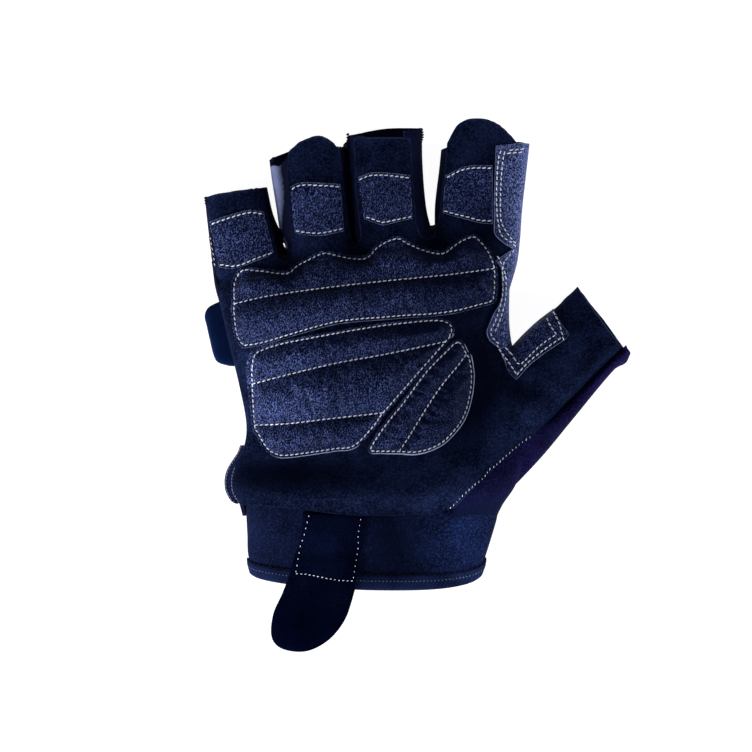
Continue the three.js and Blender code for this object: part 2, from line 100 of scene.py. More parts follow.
RING_ROWS = (
    Section(-43.2, 32.9, -18.7, 36.4, 0, 23),
    Section(-45.5, 45.4, -20.7, 48.4, 0, 21.6),
    Section(-45.7, 48.6, -21, 51.4, 0, 21.3),
    Section(-47.4, 52.8, -21.5, 55.6, 0, 21),
    Section(-48.8, 62, -22.2, 64.6, 0, 20.4),
    Section(-50.7, 74, -23, 78, 0, 19.6),
    Section(-52, 86, -23.5, 91.5, 0, 19),
)
MIDDLE_ROWS = (
    Section(-18.2, 35.7, 7.2, 37, 0, 24),
    Section(-21.6, 49, 6.2, 51, 0, 22.6),
    Section(-22.9, 62, 3.7, 62.5, 0, 21.4),
    Section(-24.1, 80, 2.4, 80, 0, 20.2),
    Section(-24.5, 95.2, 2.6, 96.6, 0, 20),
)
INDEX_ROWS = (
    Section(8, 32.9, 32.5, 32.9, 0, 24),
    Section(7.4, 42, 35.2, 42, 0, 23),
    Section(7, 50, 36.3, 50, 0, 22.4),
    Section(6.8, 62, 37.1, 61, 0, 21),
    Section(8.6, 78, 39, 78, 0, 19.6),
    Section(10.4, 97.6, 41.4, 99.4, 0, 19),
)
THUMB_ROWS = (
    Section(8.6, -22.6, 29.8, -40.6, 2.3, 27),
    Section(19.1, -4.9, 43.6, -26.2, 0, 27),
    Section(30, 8.6, 54.6, -13, 0, 25.4),
    Section(40.4, 19.6, 63.8, -1.8, 0, 22.6),
    Section(49.4, 26.9, 69, 4.2, 0, 20.6),
    Section(52.4, 30, 70.8, 5.8, 0, 20.1),
    Section(54.8, 32.1, 73.7, 7.3, 0, 19.6),
    Section(57.6, 35, 75.1, 9.8, 0, 19.2),
    Section(62.8, 40.6, 77.6, 16, 0, 19),
)
CUFF_ROWS = (
    Section(-57.5, -64.4, 23.1, -63.8, 1.6, 25.6, 2.1),
    Section(-58.7, -58.9, 24.8, -58.9, 1.6, 25.9, 2.1),
    Section(-58.9, -53, 26.8, -53, 1.8, 26.2, 2.1),
    Section(-59.2, -47, 28.5, -47, 4.5, 26.2, 2.2),
    Section(-59.4, -41.4, 29.3, -41.4, 4.5, 26, 2.4),
)


class Blob(NamedTuple):
    """A soft patch of the palm side, seen from above: its centre, reach, turn and strength."""

    x: float
    y: float
    reach_x: float
    reach_y: float
    turn: float
    strength: float


# Hollows of the palm side in millimetres, and swellings where they are below 0.
DENTS = (
    Blob(22, -1, 8, 22, -12, 2.4),
    Blob(18, 2, 24, 30, -12, 1.6),
    Blob(40, -1, 3.5, 10, 65, 2.2),
    Blob(-64, -4, 24, 30, 8, 3.4),
    Blob(-42, -29, 28, 6, 3, 3.6),
    Blob(-20, -39.5, 46, 4.6, 1, -1.5),
    Blob(-24, 44, 60, 4, 10, 1.0),
)

# Painted light and shade: where the face is painted paler, or below 0 darker, than the rest of its piece, as
# light on lit sides and swellings and as shade in hollows, crotches and turned-away sides.
PAINTED_LIGHT_SHADE = (
    Blob(-46, -30, 25, 7.5, 4, -0.95),
    Blob(21, -2, 8, 22, -12, -0.9),
    Blob(24, 52, 7, 8, 0, -0.8),
    Blob(-21, 51, 6, 9, 0, -0.9),
    Blob(6, 50, 7, 7, 0, -0.9),
    Blob(-45, 41, 7, 6, 0, -0.9),
    Blob(41, -9.5, 28, 4, 43, 0.6),
    Blob(-10, -40.5, 42, 3.2, 0, 0.5),
    Blob(-50, -6, 14, 20, 0, 0.75),
    Blob(4, 15, 16, 9, 10, -0.6),
    Blob(8, -7, 12, 20, -35, -0.5),
    Blob(16, 33, 20, 14, 5, -0.5),
    Blob(-62, 51, 13, 13, 0, 0.4),
    Blob(-34, 61, 12, 12, 0, 0.35),
    Blob(-8, -54, 11, 14, 0, -0.75),
    Blob(17, -53, 13, 14, 0, 2.2),
    Blob(38.5, 50, 4.5, 40, 0, 0.8),
    Blob(35, 27, 3.5, 14, -5, 0.7),
    Blob(36, -1, 9, 10, 0, -0.55),
    Blob(42.2, -21, 26, 2.6, 43.5, -0.45),
    Blob(-57.8, 3.5, 1.8, 9, 8, 0.9),
    Blob(-46, -18.5, 8, 5, 0, 0.7),
    Blob(-38, -84, 20, 9, 0, -0.8),
    Blob(-29, -55, 9, 9, 0, 0.5),
)

# Outlines seen from above. A run marked True is rounded, and one that reaches FAR ends at the silhouette.
FAR = 90.0
THUMB_SEAM = (
    (72.3, 12.2), (64.6, 5.2), (56.9, -2.8), (49.2, -10.5), (40.1, -18.5), (29.6, -27.3), (20.5, -36),
    (13.8, -43),
)
HAND_FRONT = (
    (False, ((-FAR, 65.4), (-74, 65.4), (-53.7, 68.6), (-48.8, 46.9))),
    (True, ((-47.8, 43.8), (-45.6, 42.4), (-43.4, 44))),
    (False, ((-42.9, 47.5), (-44.2, 62), (-44.9, 75.6), (-44.2, 81))),
    (True, ((-40.4, 84.2), (-34.3, 86.3), (-29.9, 84.9), (-26.8, 82.2))),
    (False, ((-24.8, 66), (-22.8, 51.4), (-20.9, 47.4), (-18.9, 51.4), (-20.9, 68), (-21.5, 85.8))),
    (False, ((-1.9, 85.8), (-0.9, 67.9), (0.2, 55.3))),
    (True, ((1.6, 51.8), (4, 50.5), (6.6, 51.8))),
    (False, ((8.4, 59), (10.4, 75))),
    (True, ((11, 84.2), (14.9, 90.6), (21, 92.4), (28.4, 90.6), (35.5, 84.2))),
    (False, ((FAR, 84.4), (FAR, 60), (44, 30), (54.6, 36.2), (56.7, 33.4), (66.7, 19.2))),
    (False, THUMB_SEAM),
    (True, ((5.1, -45.2), (-21.2, -45.7), (-42.9, -43.2), (-56.5, -42.3), (-FAR, -41.8))),
)
HAND_BACK = (
    (False, ((-FAR, -46.2), (-FAR, 64.8), (-74, 65.2), (-51.6, 68.9), (-50.5, 70.6), (-52.6, 77.2))),
    (False, ((-50.3, 79.6), (-43.9, 82.2), (-24.4, 83.2), (-23.7, 87.4))),
    (True, ((-23.7, 87.4), (-10.7, 89.9), (1.6, 89.9), (5.1, 88.6))),
    (False, ((6.6, 81.4), (22.6, 82.2), (FAR, 84.8), (FAR, 60), (47, 37), (54.6, 36.8), (66.4, 22.6),
             (75, 10.6))),
    (False, ((FAR, 4), (FAR, -46.2))),
)
THUMB_SIDE = (
    (False, ((12.6, -45.6), (FAR, -44.4), (FAR, 2))),
    (True, ((80, 6.5), (76.6, 9.4), (75.3, 10.9), (74.4, 12.2), (73.4, 13), (72.6, 13), (72.3, 12.2))),
    (False, THUMB_SEAM[1:]),
)
FOURCHETTES = {
    "fourchette_little_ring": (
        (-56, 68.2), (-50.6, 69.4), (-52, 76.8), (-47.8, 75.9), (-43.9, 80.2), (-40, 60), (-41, 38),
        (-50, 38),
    ),
    "fourchette_ring_middle": ((-30, 82.4), (-24.2, 83), (-23.5, 87), (-18, 86.6), (-18, 42), (-26, 42)),
    "fourchette_middle_index": ((-4, 88.4), (4.4, 88.4), (7, 81.6), (12, 83), (12, 45), (-4, 45)),
}
OVERLOCK_LINES = (
    ((-72.5, 51.6), (-71.5, 45), (-71, 40), (-70.1, 34.6)),
    ((-74.1, 65.3), (-73.9, 63.4)),
    ((-27.2, 83.2), (-24.6, 83.1)),
    ((-24.2, 82), (-24.3, 87.2)),
    ((2.3, 84.4), (2.9, 86.8), (2.7, 89)),
)
BACK_OVERLOCK_LINE = ((-51.1, 77.2), (-50.6, 79.4))
LITTLE_EDGE = ((-71.9, 51.4), (-71.2, 47.6), (-70.6, 44.6), (-70.2, 41.4))
THUMB_SEAM_STITCHES = (
    (39.7, -18.5), (35.4, -21.7), (31, -25.5), (28.2, -28), (25.4, -30.1), (23.3, -32.9), (20.5, -35),
    (17.9, -37.3), (14.8, -40.4), (12.1, -43),
)

# For each panel: its finish, its flat width and length, and how it is held.
PANEL_CLOTHS = {
    "palm_panel": ("suede", 168, 150, "stretched"),
    "side_panel": ("stretch", 30, 80, "stretched"),
    "back_panel": ("back_stretch", 165, 145, "stretched"),
    "fourchette_little_ring": ("painted_highlight_strips", 18, 50, "stretched"),
    "fourchette_ring_middle": ("side_strips", 14, 50, "stretched"),
    "fourchette_middle_index": ("side_strips", 18, 50, "stretched"),
}

# The binding in section: how far up the cuff, and how far off its outer face.
HEM_PROFILE = (
    (3.9, -0.1), (3.9, 0.5), (3.6, 0.85), (2.2, 1.0), (0.4, 1.0), (-0.7, 0.8), (-1.2, 0.1), (-1.4, -0.9),
    (-1.2, -1.9), (-0.6, -2.6), (0.5, -2.9), (3.4, -2.95), (3.8, -2.7), (3.8, -2.15), (3.3, -2.05),
    (0.2, -2.05), (-0.25, -1.6), (-0.3, -0.3), (0.2, -0.1),
)
PULL_TAB = (
    (False, ((-39.2, -44.6), (-40.2, -54.2), (-42.4, -61), (-44.3, -67.9))),
    (True, ((-46.4, -73.3), (-49.4, -80), (-50.1, -87.4), (-47.6, -91.4), (-42, -93), (-36, -92.2),
            (-29.4, -88), (-24.2, -81), (-21.2, -71.9))),
    (False, ((-19.8, -63), (-18.4, -54.2), (-17.8, -45.8))),
)
TAB_STITCHES = (
    ((-37.1, -45.6), (-37.6, -47.4), (-39, -53.1), (-40.2, -56.7), (-41, -61.3), (-41.7, -65.5)),
    ((-19.1, -46.9), (-19.9, -51.5), (-20.1, -57.1), (-20.9, -62.3), (-21.7, -67.4)),
    ((-41.6, -65.9), (-37.6, -66.2), (-32.5, -67.2), (-27.3, -68.1), (-21.9, -68.4)),
)
BACK_TAB = (
    (False, ((-48, 29.2), (-60, 30))),
    (True, ((-67.8, 29.5), (-72.6, 27.1), (-74.1, 24), (-73.3, 20), (-72.3, 15.5), (-70.9, 9.9),
            (-69.3, 7.5), (-65.4, 6.3))),
    (False, ((-58, 5.9), (-48, 5.7))),
)
STRAP_BOW = (
    (-61.4, -21.5), (-62.2, -23.8), (-63.4, -25.7), (-64.8, -27.8), (-66, -30), (-66.8, -33),
    (-66.7, -36.5), (-65.8, -39), (-64.4, -41.1), (-62.7, -42),
)


@dataclass
class PadSpec:
    """The stitch lines of a padded leather piece, and where its cut edge is painted pale as a highlight.

    Each pair of lines encloses a cell. The edge is painted pale, as a highlight, where it faces the lights,
    and lies further out from its stitches in the wide patches.
    """

    node: str
    lines: tuple[Line, ...]
    highlight_side: tuple[float, float] = (0.12, -0.99)
    highlight_from: float = 0.75
    pale: float = 1.0
    wide: tuple[Blob, ...] = ()


KNUCKLE_PAD = PadSpec("knuckle_pad", (
    ((-63.3, 30.6), (-63.2, 35.3), (-61.4, 38.9), (-58.6, 39.8), (-52.4, 39.1), (-46.4, 38.4), (-43.6, 39),
     (-42.2, 40.4), (-39.8, 42), (-35.9, 44), (-32, 45.6), (-28.2, 44.9), (-23, 43.7), (-18, 43.6),
     (-15.6, 44.9), (-14, 47), (-10.4, 49.4), (-6, 50.7), (-3.8, 49.4), (1.4, 47), (6.2, 45.6), (9.9, 45.5),
     (13, 47.8), (16.4, 50), (20.4, 51.3), (22.4, 49.6), (24.9, 46.6), (26.6, 43)),
    ((-63.2, 28), (-52.2, 30.5), (-36, 32.9), (-23.1, 34.5), (-10.2, 35.9), (2.8, 37.2), (12.5, 38.2),
     (22.2, 39.5), (27.4, 40.3)),
    ((-63.4, 26), (-62.4, 17.6), (-60.4, 14), (-58.6, 13.6), (-54.2, 14.3), (-49, 15.7), (-43.8, 17.3),
     (-36, 19.6), (-28.2, 21.6), (-20.4, 22.6), (-12, 23.2), (-3.6, 23.9), (6, 24.5), (14.4, 25.7),
     (22.2, 27.7), (26.7, 29.1), (27.2, 31), (27.5, 34.6)),
), pale=0.4)
HEEL_PAD = PadSpec("heel_pad", (
    ((-57, 5.6), (-56.2, 9.8), (-54, 11.6), (-47.4, 13.8), (-39.7, 15.4), (-19.4, 19.1), (-6.7, 20.9),
     (6.8, 22.1), (11.5, 21), (12.5, 18.9), (11.5, 16.4)),
    ((-57, 0), (-43.2, 3.6), (-28, 7.2), (-13.6, 9.8), (-1.6, 12.2), (10.4, 14.8)),
    ((-56.2, -14.3), (-45, -13.8), (-28, -11.8), (-11.4, -10)),
    ((-55.2, -16.6), (-51.8, -22.3), (-48.4, -24.4), (-45, -24.8), (-36.6, -23.7), (-28, -22.4),
     (-21.2, -21.2), (-13.4, -13)),
), wide=(Blob(-57, 5, 6, 9, 0, 1.0),))
THENAR_PAD = PadSpec("thenar_pad", (
    ((14.8, 14.6), (10.3, 10.9), (6, 6.7), (2.6, 2.8), (-4.6, -7), (-8.8, -12.1), (-13.1, -18),
     (-15.6, -22.2), (-15.4, -23.3), (-12.4, -23.3)),
    ((17.6, 10.4), (14.5, 6.2), (10.3, 1.2), (6.8, -3.6), (3.5, -8.7), (-2.6, -18.6), (-5.8, -23.4)),
    ((18.6, 8.8), (19.4, 2), (18.3, -6.1), (16.2, -12.1), (13.2, -16.3), (9.4, -20.1), (5.2, -22.3),
     (0, -23.6)),
), highlight_side=(0.75, -0.66), highlight_from=0.2, pale=1.2)


class PatchSpec(NamedTuple):
    """One flat leather patch: its outline, its stitch lines and how far it wraps under the glove."""

    node: str
    edge: tuple[tuple[bool, Line], ...]
    stitches: tuple[Line, ...]
    under: float = 0.0
    finish: str = "leather"


PATCHES = (
    PatchSpec("grip_little", (
        (True, ((-72.3, 56.5), (-67.3, 58.3), (-62.5, 59.7), (-57.9, 60.8), (-53, 60.2))),
        (False, ((-49.6, 46),)),
        (True, ((-51.5, 44.6), (-55.8, 42.9), (-59.5, 41.4), (-63.9, 40.2), (-68.8, 40.8))),
    ), (
        ((-71.4, 55.9), (-67, 57.4), (-62.5, 58.8), (-57.9, 59.9), (-53.6, 59.4)),
        ((-68.4, 41.7), (-66, 41.4), (-63.9, 41.1), (-61.8, 41.4), (-59, 42.4), (-55.8, 43.8),
         (-50.2, 45.8)),
    )),
    PatchSpec("grip_ring", (
        (True, ((-43.7, 68.7), (-41.5, 69.9), (-38.3, 70.4), (-34.5, 70.2), (-29.9, 70), (-26.2, 69.7))),
        (True, ((-24.9, 53.4), (-28.2, 52.7), (-31.3, 52), (-34.8, 51.7), (-39.4, 52.1), (-42.2, 52.9))),
    ), (
        ((-43.2, 68), (-41.5, 69), (-38.3, 69.5), (-34.5, 69.3), (-29.9, 69.1), (-26.6, 68.8)),
        ((-41.9, 53.5), (-39.4, 53), (-34.8, 52.6), (-31.3, 52.9), (-28.2, 53.6), (-25.4, 54.2)),
    )),
    PatchSpec("grip_middle", (
        (True, ((-20.2, 72.1), (-18, 72.9), (-16.1, 73.6), (-12.1, 73.8), (-7.5, 73.4), (-1.9, 72.8))),
        (True, ((-1.1, 57.7), (-4.6, 57), (-7.2, 56.3), (-9.6, 55.7), (-11.7, 55.4), (-15.9, 56.8),
                (-18, 57.6))),
    ), (
        ((-19.7, 71.3), (-18, 72), (-16.1, 72.7), (-12.1, 72.9), (-7.5, 72.5), (-2.3, 71.9)),
        ((-17.3, 58.2), (-15.9, 57.8), (-13.1, 56.8), (-11.7, 56.3), (-9.6, 56.6), (-7.2, 57.2),
         (-1.4, 58.4)),
    )),
    PatchSpec("grip_index", (
        (True, ((10.3, 72.8), (13, 74.1), (14.9, 75.1), (17, 75.8), (20.3, 76.3), (26.8, 76.3))),
        (True, ((26.8, 55.8), (22.2, 56.2), (19.3, 57), (16.6, 57.7), (12.6, 58.7), (9.4, 59.8))),
    ), (
        ((10.9, 72.1), (13, 73.2), (14.9, 74.2), (17, 74.9), (20.3, 75.4), (26.4, 75.3)),
        ((9.9, 60.5), (12.6, 59.6), (16.6, 58.6), (19.3, 57.9), (22.2, 57.1), (26.4, 56.9)),
    )),
    PatchSpec("index_side_patch", (
        (False, ((28, 83), (35.7, 84.1), (46, 84.6), (46, 56), (40, 45), (39, 30), (36.6, 20),
                 (33.3, 14.8))),
        (False, ((32.3, 14.2), (29.4, 12.1))),
        (True, ((25.6, 15), (24.4, 17.9), (25.3, 20.8), (27.1, 24.9), (29.4, 28.9), (29.9, 34.8),
                (29.6, 40), (27.6, 42.9))),
        (True, ((33.4, 47.2), (31.4, 48.4), (28.4, 50.7), (27.2, 52.6))),
        (True, ((27.2, 62.4), (27.5, 72.4))),
    ), (
        ((29.9, 81.5), (29, 79.1), (28.4, 72.5), (28.2, 65.8), (28.4, 59.2), (28.9, 55.7), (29.9, 51.8),
         (33.4, 49.4), (35, 48)),
        ((31.2, 81.2), (30.6, 79.1), (29.9, 72.5), (29.6, 65.8), (29.6, 59.2), (29.9, 56.4), (32, 52.5),
         (35, 49)),
        ((32.7, 81.6), (38, 82.1)),
        ((31.9, 80.5), (37.4, 81)),
        ((34.6, 46.9), (30.5, 41.7), (30.5, 36.4), (30.3, 30.8), (29.1, 25.9), (27.6, 21.4), (26.1, 18.6),
         (26.6, 16.4), (29, 14)),
        ((28.5, 44.6), (30.8, 39.9), (31.7, 35), (31.5, 30), (30.4, 25.2), (28.9, 20.9), (27.7, 18.3)),
    ), under=3, finish="painted_lit_leather"),
    PatchSpec("thumb_crotch_patch", (
        (False, ((29.4, 12.4), (33.4, 15.2), (36, 19.4), (44, 30), (48.9, 27.8))),
        (True, ((48.6, 26.2), (50.8, 20.8), (53.1, 17.8), (52.8, 16.1), (51.4, 14.9))),
        (True, ((45.6, 11), (39.7, 6.3), (35.2, 1.4))),
        (False, ((33.6, 2.9), (31.7, 5.7), (29.4, 11))),
    ), (
        ((48, 25.4), (50, 21.4), (51.1, 17.3), (51.6, 15.2)),
        ((50.6, 16.1), (45.7, 12.7), (39.7, 8.1), (35.2, 3.2)),
        ((35, 3.6), (32.6, 7.5), (29.9, 11), (28.2, 13.9)),
        ((45.8, 23.2), (46.7, 20.8), (49.1, 17.3)),
        ((48.7, 17.1), (43.2, 13.3), (36.9, 7.2), (35.2, 7.5)),
        ((34.9, 7.9), (34, 9.8), (31.1, 13)),
    ), under=2.5),
)


# Lines seen from above


def line_array(line: Line) -> Points:
    """Returns a line's points as an array of rows of x and y."""
    return np.array(line, dtype=float).reshape(-1, 2)


def looped(points: Points) -> Points:
    """Returns a line that ends on its first point again."""
    return np.vstack([points, points[:1]])


def unit(rows: Points) -> Points:
    """Returns rows of vectors, each made one unit long."""
    return rows / np.maximum(np.linalg.norm(rows, axis=1), TINY)[:, None]


def cross_2d(first: Points, second: Points) -> np.ndarray:
    """Returns the cross product of rows of x and y."""
    return first[:, 0] * second[:, 1] - first[:, 1] * second[:, 0]


def lengths_along(line: Points) -> np.ndarray:
    """Returns how far along a line each of its points lies."""
    return np.concatenate([[0], np.cumsum(np.linalg.norm(np.diff(line, axis=0), axis=1))])


def points_at(line: Points, places: np.ndarray) -> Points:
    """Returns the points that lie given lengths along a line."""
    lengths = lengths_along(line)
    return np.column_stack([np.interp(places, lengths, values) for values in line.T])


def catmull_rom(values: Points, along: Points) -> Points:
    """Runs a smooth curve through rows of values.

    Args:
        values: One row for each control point.
        along: Places from 0 to 1, spread evenly over the control points.

    Returns:
        One row for each place.
    """
    count = len(values)
    place = np.clip(along, 0, 1) * (count - 1)
    start = np.minimum(np.floor(place).astype(int), count - 2)
    weight = (place - start)[:, None]
    p0 = values[np.maximum(start - 1, 0)]
    p1 = values[start]
    p2 = values[start + 1]
    p3 = values[np.minimum(start + 2, count - 1)]
    first, second = (p2 - p0) / 2, (p3 - p1) / 2
    cubic = (2 * p1 - 2 * p2 + first + second) * weight**3
    square = (-3 * p1 + 3 * p2 - 2 * first - second) * weight**2
    return cubic + square + first * weight + p1


def resample(line: Points, step: float, closed: bool = False) -> Points:
    """Spreads points evenly along a line, and keeps its ends.

    Args:
        line: The line's points.
        step: About how far apart the new points are.
        closed: Whether the last point joins the first.

    Returns:
        The new points, without a repeat of the first one.
    """
    ring = looped(line) if closed else line
    length = lengths_along(ring)[-1]
    points = points_at(ring, np.linspace(0, length, max(2, int(round(length / step)) + 1)))
    return points[:-1] if closed else points


def smooth_line(line: Line, step: float, closed: bool = False) -> Points:
    """Rounds a line with a smooth curve and spreads points along it.

    Args:
        line: The control points.
        step: About how far apart the new points are.
        closed: Whether the curve closes on itself.

    Returns:
        Points along the curve.
    """
    control = line_array(line)
    if not closed:
        return resample(catmull_rom(control, np.linspace(0, 1, CURVE_STEPS * len(control))), step)
    control = np.vstack([control[-2:], control, control[:2]])
    last = len(control) - 1
    along = np.linspace(2 / last, (last - 1) / last, CURVE_STEPS * len(control))
    return resample(catmull_rom(control, along)[:-1], step, closed=True)


def filled(corners: Points, step: float) -> Points:
    """Adds points along the sides of a closed line, keeps its corners and drops repeated ones.

    Args:
        corners: The line's points.
        step: The furthest that two points may lie apart.

    Returns:
        The points.
    """
    apart = np.linalg.norm(corners - np.roll(corners, 1, axis=0), axis=1)
    corners = corners[apart > SAME_POINT]
    parts = []
    for start, end in zip(corners, np.roll(corners, -1, axis=0)):
        count = max(1, math.ceil(float(np.linalg.norm(end - start)) / step))
        parts.append(start + (end - start) * np.arange(count)[:, None] / count)
    return np.vstack(parts)


def closed_outline(runs: Sequence[tuple[bool, Line]], step: float = 1.2) -> Points:
    """Turns runs, pairs of whether a run is rounded and its points, into one closed line."""
    parts = [smooth_line(line, step) if curved else line_array(line) for curved, line in runs]
    return filled(np.vstack(parts), step)


def bends_of(polygon: Points) -> Points:
    """Returns a closed line's points without those that lie straight between their neighbours."""
    turn = cross_2d(polygon - np.roll(polygon, 1, axis=0), np.roll(polygon, -1, axis=0) - polygon)
    return polygon[np.abs(turn) > STRAIGHT]


def inside(polygon: Points, points: Points) -> np.ndarray:
    """Finds the points that lie inside a polygon.

    Args:
        polygon: A closed line.
        points: Rows of x and y.

    Returns:
        A mask of the points.
    """
    x, y = points[:, 0], points[:, 1]
    mask = np.zeros(len(points), dtype=bool)
    ring = looped(bends_of(polygon))
    for (x1, y1), (x2, y2) in zip(ring[:-1], ring[1:]):
        if y1 != y2:
            crosses = (y1 > y) != (y2 > y)
            mask ^= crosses & (x < (x2 - x1) * (y - y1) / (y2 - y1) + x1)
    return mask


def distance_to(line: Points, points: Points, closed: bool = False) -> np.ndarray:
    """Measures how far points lie from a line.

    Args:
        line: The line's points.
        points: The points to measure.
        closed: Whether the line closes on itself.

    Returns:
        The distances.
    """
    ring = looped(bends_of(line)) if closed else line
    best = np.full(len(points), np.inf)
    for start, end in zip(ring[:-1], ring[1:]):
        run = end - start
        length = float(run @ run)
        if length > TINY:
            share = np.clip((points - start) @ run / length, 0, 1)
            best = np.minimum(best, np.linalg.norm(points - start - share[:, None] * run, axis=1))
    return best


def nearest(lines: Sequence[Points], points: Points, closed: bool = False) -> np.ndarray:
    """Measures how far points lie from the nearest of some lines.

    Args:
        lines: The lines, which may be none.
        points: The points to measure.
        closed: Whether the lines close on themselves.

    Returns:
        The distances, without end where there is no line.
    """
    best = np.full(len(points), np.inf)
    for line in lines:
        best = np.minimum(best, distance_to(line, points, closed))
    return best


def grown(polygon: Points, distance: float | np.ndarray) -> Points:
    """Moves every side of a closed outline outward, or inward by a negative distance.

    Args:
        polygon: The outline, either way round.
        distance: How far, or how far at each point.

    Returns:
        The moved outline.
    """
    after = np.roll(polygon, -1, axis=0)
    arrive = unit(polygon - np.roll(polygon, 1, axis=0))
    leave = unit(after - polygon)
    side = 1.0 if np.sum(cross_2d(polygon, after)) > 0 else -1.0
    normal = unit(np.column_stack([arrive[:, 1] + leave[:, 1], -arrive[:, 0] - leave[:, 0]]))
    miter = np.maximum(cross_2d(normal, leave), 0.6)
    return polygon + (side * distance / miter)[:, None] * normal


def ripple(points: Points, size: float, seed: float) -> np.ndarray:
    """Returns soft noise between about -1 and 1 over points, in waves of a size, shifted by a seed."""
    return np.array([noise.noise(Vector((x / size, y / size, seed))) for x, y in points])


def blob_sum(blobs: Sequence[Blob], points: Points) -> np.ndarray:
    """Adds up the strengths of soft patches over points.

    Args:
        blobs: The patches.
        points: Rows of x and y.

    Returns:
        One value for each point.
    """
    total = np.zeros(len(points))
    for blob in blobs:
        turn = math.radians(blob.turn)
        dx, dy = points[:, 0] - blob.x, points[:, 1] - blob.y
        u = dx * math.cos(turn) + dy * math.sin(turn)
        v = -dx * math.sin(turn) + dy * math.cos(turn)
        total += blob.strength * np.exp(-((u / blob.reach_x) ** 2) - (v / blob.reach_y) ** 2)
    return total


def ease(value: np.ndarray) -> np.ndarray:
    """Returns a smooth step of values from 0 to 1."""
    share = np.clip(value, 0, 1)
    return share * share * (3 - 2 * share)


def bell(distance: np.ndarray, width: float) -> np.ndarray:
    """Returns a bell curve of distances: 1 where they are 0, and about a third at the width."""
    return np.exp(-((distance / width) ** 2))


# Forms


@dataclass
class Limb:
    """A hollow limb: the palm, a finger, the thumb or the cuff."""

    rows: Sequence[Section]
    fades_in: float = 0.12
    fades_out: float = 0.0
    samples: int = 120
    outline_step: float = 1.1

    def __post_init__(self) -> None:
        """Lays out the limb's two sides and its levels."""
        self.places = np.linspace(0, 1, self.samples)
        table = np.array(self.rows)
        self.left = catmull_rom(table[:, 0:2], self.places)
        self.right = catmull_rom(table[:, 2:4], self.places)
        self.levels = catmull_rom(table[:, 4:7], self.places)
        self.levels[:, 0] = np.maximum(self.levels[:, 0], table[:, 4].min())

    def outline(self) -> Points:
        """Returns the limb's own silhouette seen from above."""
        sides = np.vstack([self.left[::2], self.left[-1:], self.right[::-2], self.right[:1]])
        return filled(sides, self.outline_step)

    def locate(self, points: Points) -> tuple[np.ndarray, np.ndarray]:
        """Finds where points lie along and across the limb.

        Args:
            points: Rows of x and y.

        Returns:
            The place along from 0 to 1, and across from -1 to 1.
        """
        run = self.right - self.left
        ahead = run[None, :, 0] * (points[:, None, 1] - self.left[None, :, 1])
        ahead -= run[None, :, 1] * (points[:, None, 0] - self.left[None, :, 0])
        passed = np.maximum(np.argmax(ahead < 0, axis=1), 1)
        passed[ahead[:, -1] >= 0] = self.samples - 1
        rows = np.arange(len(points))
        before, after = ahead[rows, passed - 1], ahead[rows, passed]
        share = before / np.where(np.abs(before - after) < 1e-9, 1e-9, before - after)
        share = np.clip(share, 0, 1)
        along = (passed - 1 + share) / (self.samples - 1)
        left = self.left[passed - 1] * (1 - share[:, None]) + self.left[passed] * share[:, None]
        right = self.right[passed - 1] * (1 - share[:, None]) + self.right[passed] * share[:, None]
        width = right - left
        across = 2 * np.sum((points - left) * width, axis=1) / np.sum(width * width, axis=1) - 1
        outside = (ahead[:, 0] < 0) | (ahead[:, -1] > 0)
        across[outside & (self.fades_out > 0)] = 2
        across[ahead[:, 0] < 0] = 2
        return along, across

    def shape(self, points: Points) -> tuple[np.ndarray, np.ndarray, np.ndarray]:
        """Works out the limb's round over points.

        Args:
            points: Rows of x and y.

        Returns:
            The round's share from 0 at the silhouette to 1, the levels and squareness there, and a
            mask of the points over the limb.
        """
        along, across = self.locate(points)
        levels = np.column_stack([np.interp(along, self.places, self.levels[:, k]) for k in range(3)])
        square = levels[:, 2]
        round_share = np.maximum(1 - np.minimum(np.abs(across), 1) ** square, 0) ** (1 / square)
        if self.fades_in:
            round_share = round_share * ease(along / self.fades_in)
        if self.fades_out:
            end = np.clip((1 - along) / self.fades_out, 0, 1)
            round_share = round_share * np.maximum(1 - (1 - end) ** 2.5, 0) ** 0.4
        return round_share, levels, np.abs(across) <= 1.001


@dataclass
class Ground:
    """A surface seen from above, which other pieces are laid on."""

    height: Callable[[Points], np.ndarray]
    reach: float = 0.15

    def normals(self, points: Points) -> Points:
        """Measures how the surface is turned.

        Args:
            points: Rows of x and y.

        Returns:
            The unit normals there.
        """
        slope = [
            (self.height(points + offset) - self.height(points - offset)) / (2 * self.reach)
            for offset in np.eye(2) * self.reach
        ]
        return unit(np.column_stack([-slope[0], -slope[1], np.ones(len(points))]))

    def under(self, points: Points, lift: float) -> Points:
        """Returns where the surface holds what stands off it straight over the given points."""
        return points - self.normals(points)[:, :2] * lift

    def place(self, points: Points, lift: float = 0.0) -> Points:
        """Lifts flat points off the surface, square to it, so that from above they stay where they are."""
        base = self.under(points, lift)
        return np.column_stack([base, self.height(base)]) + self.normals(base) * lift


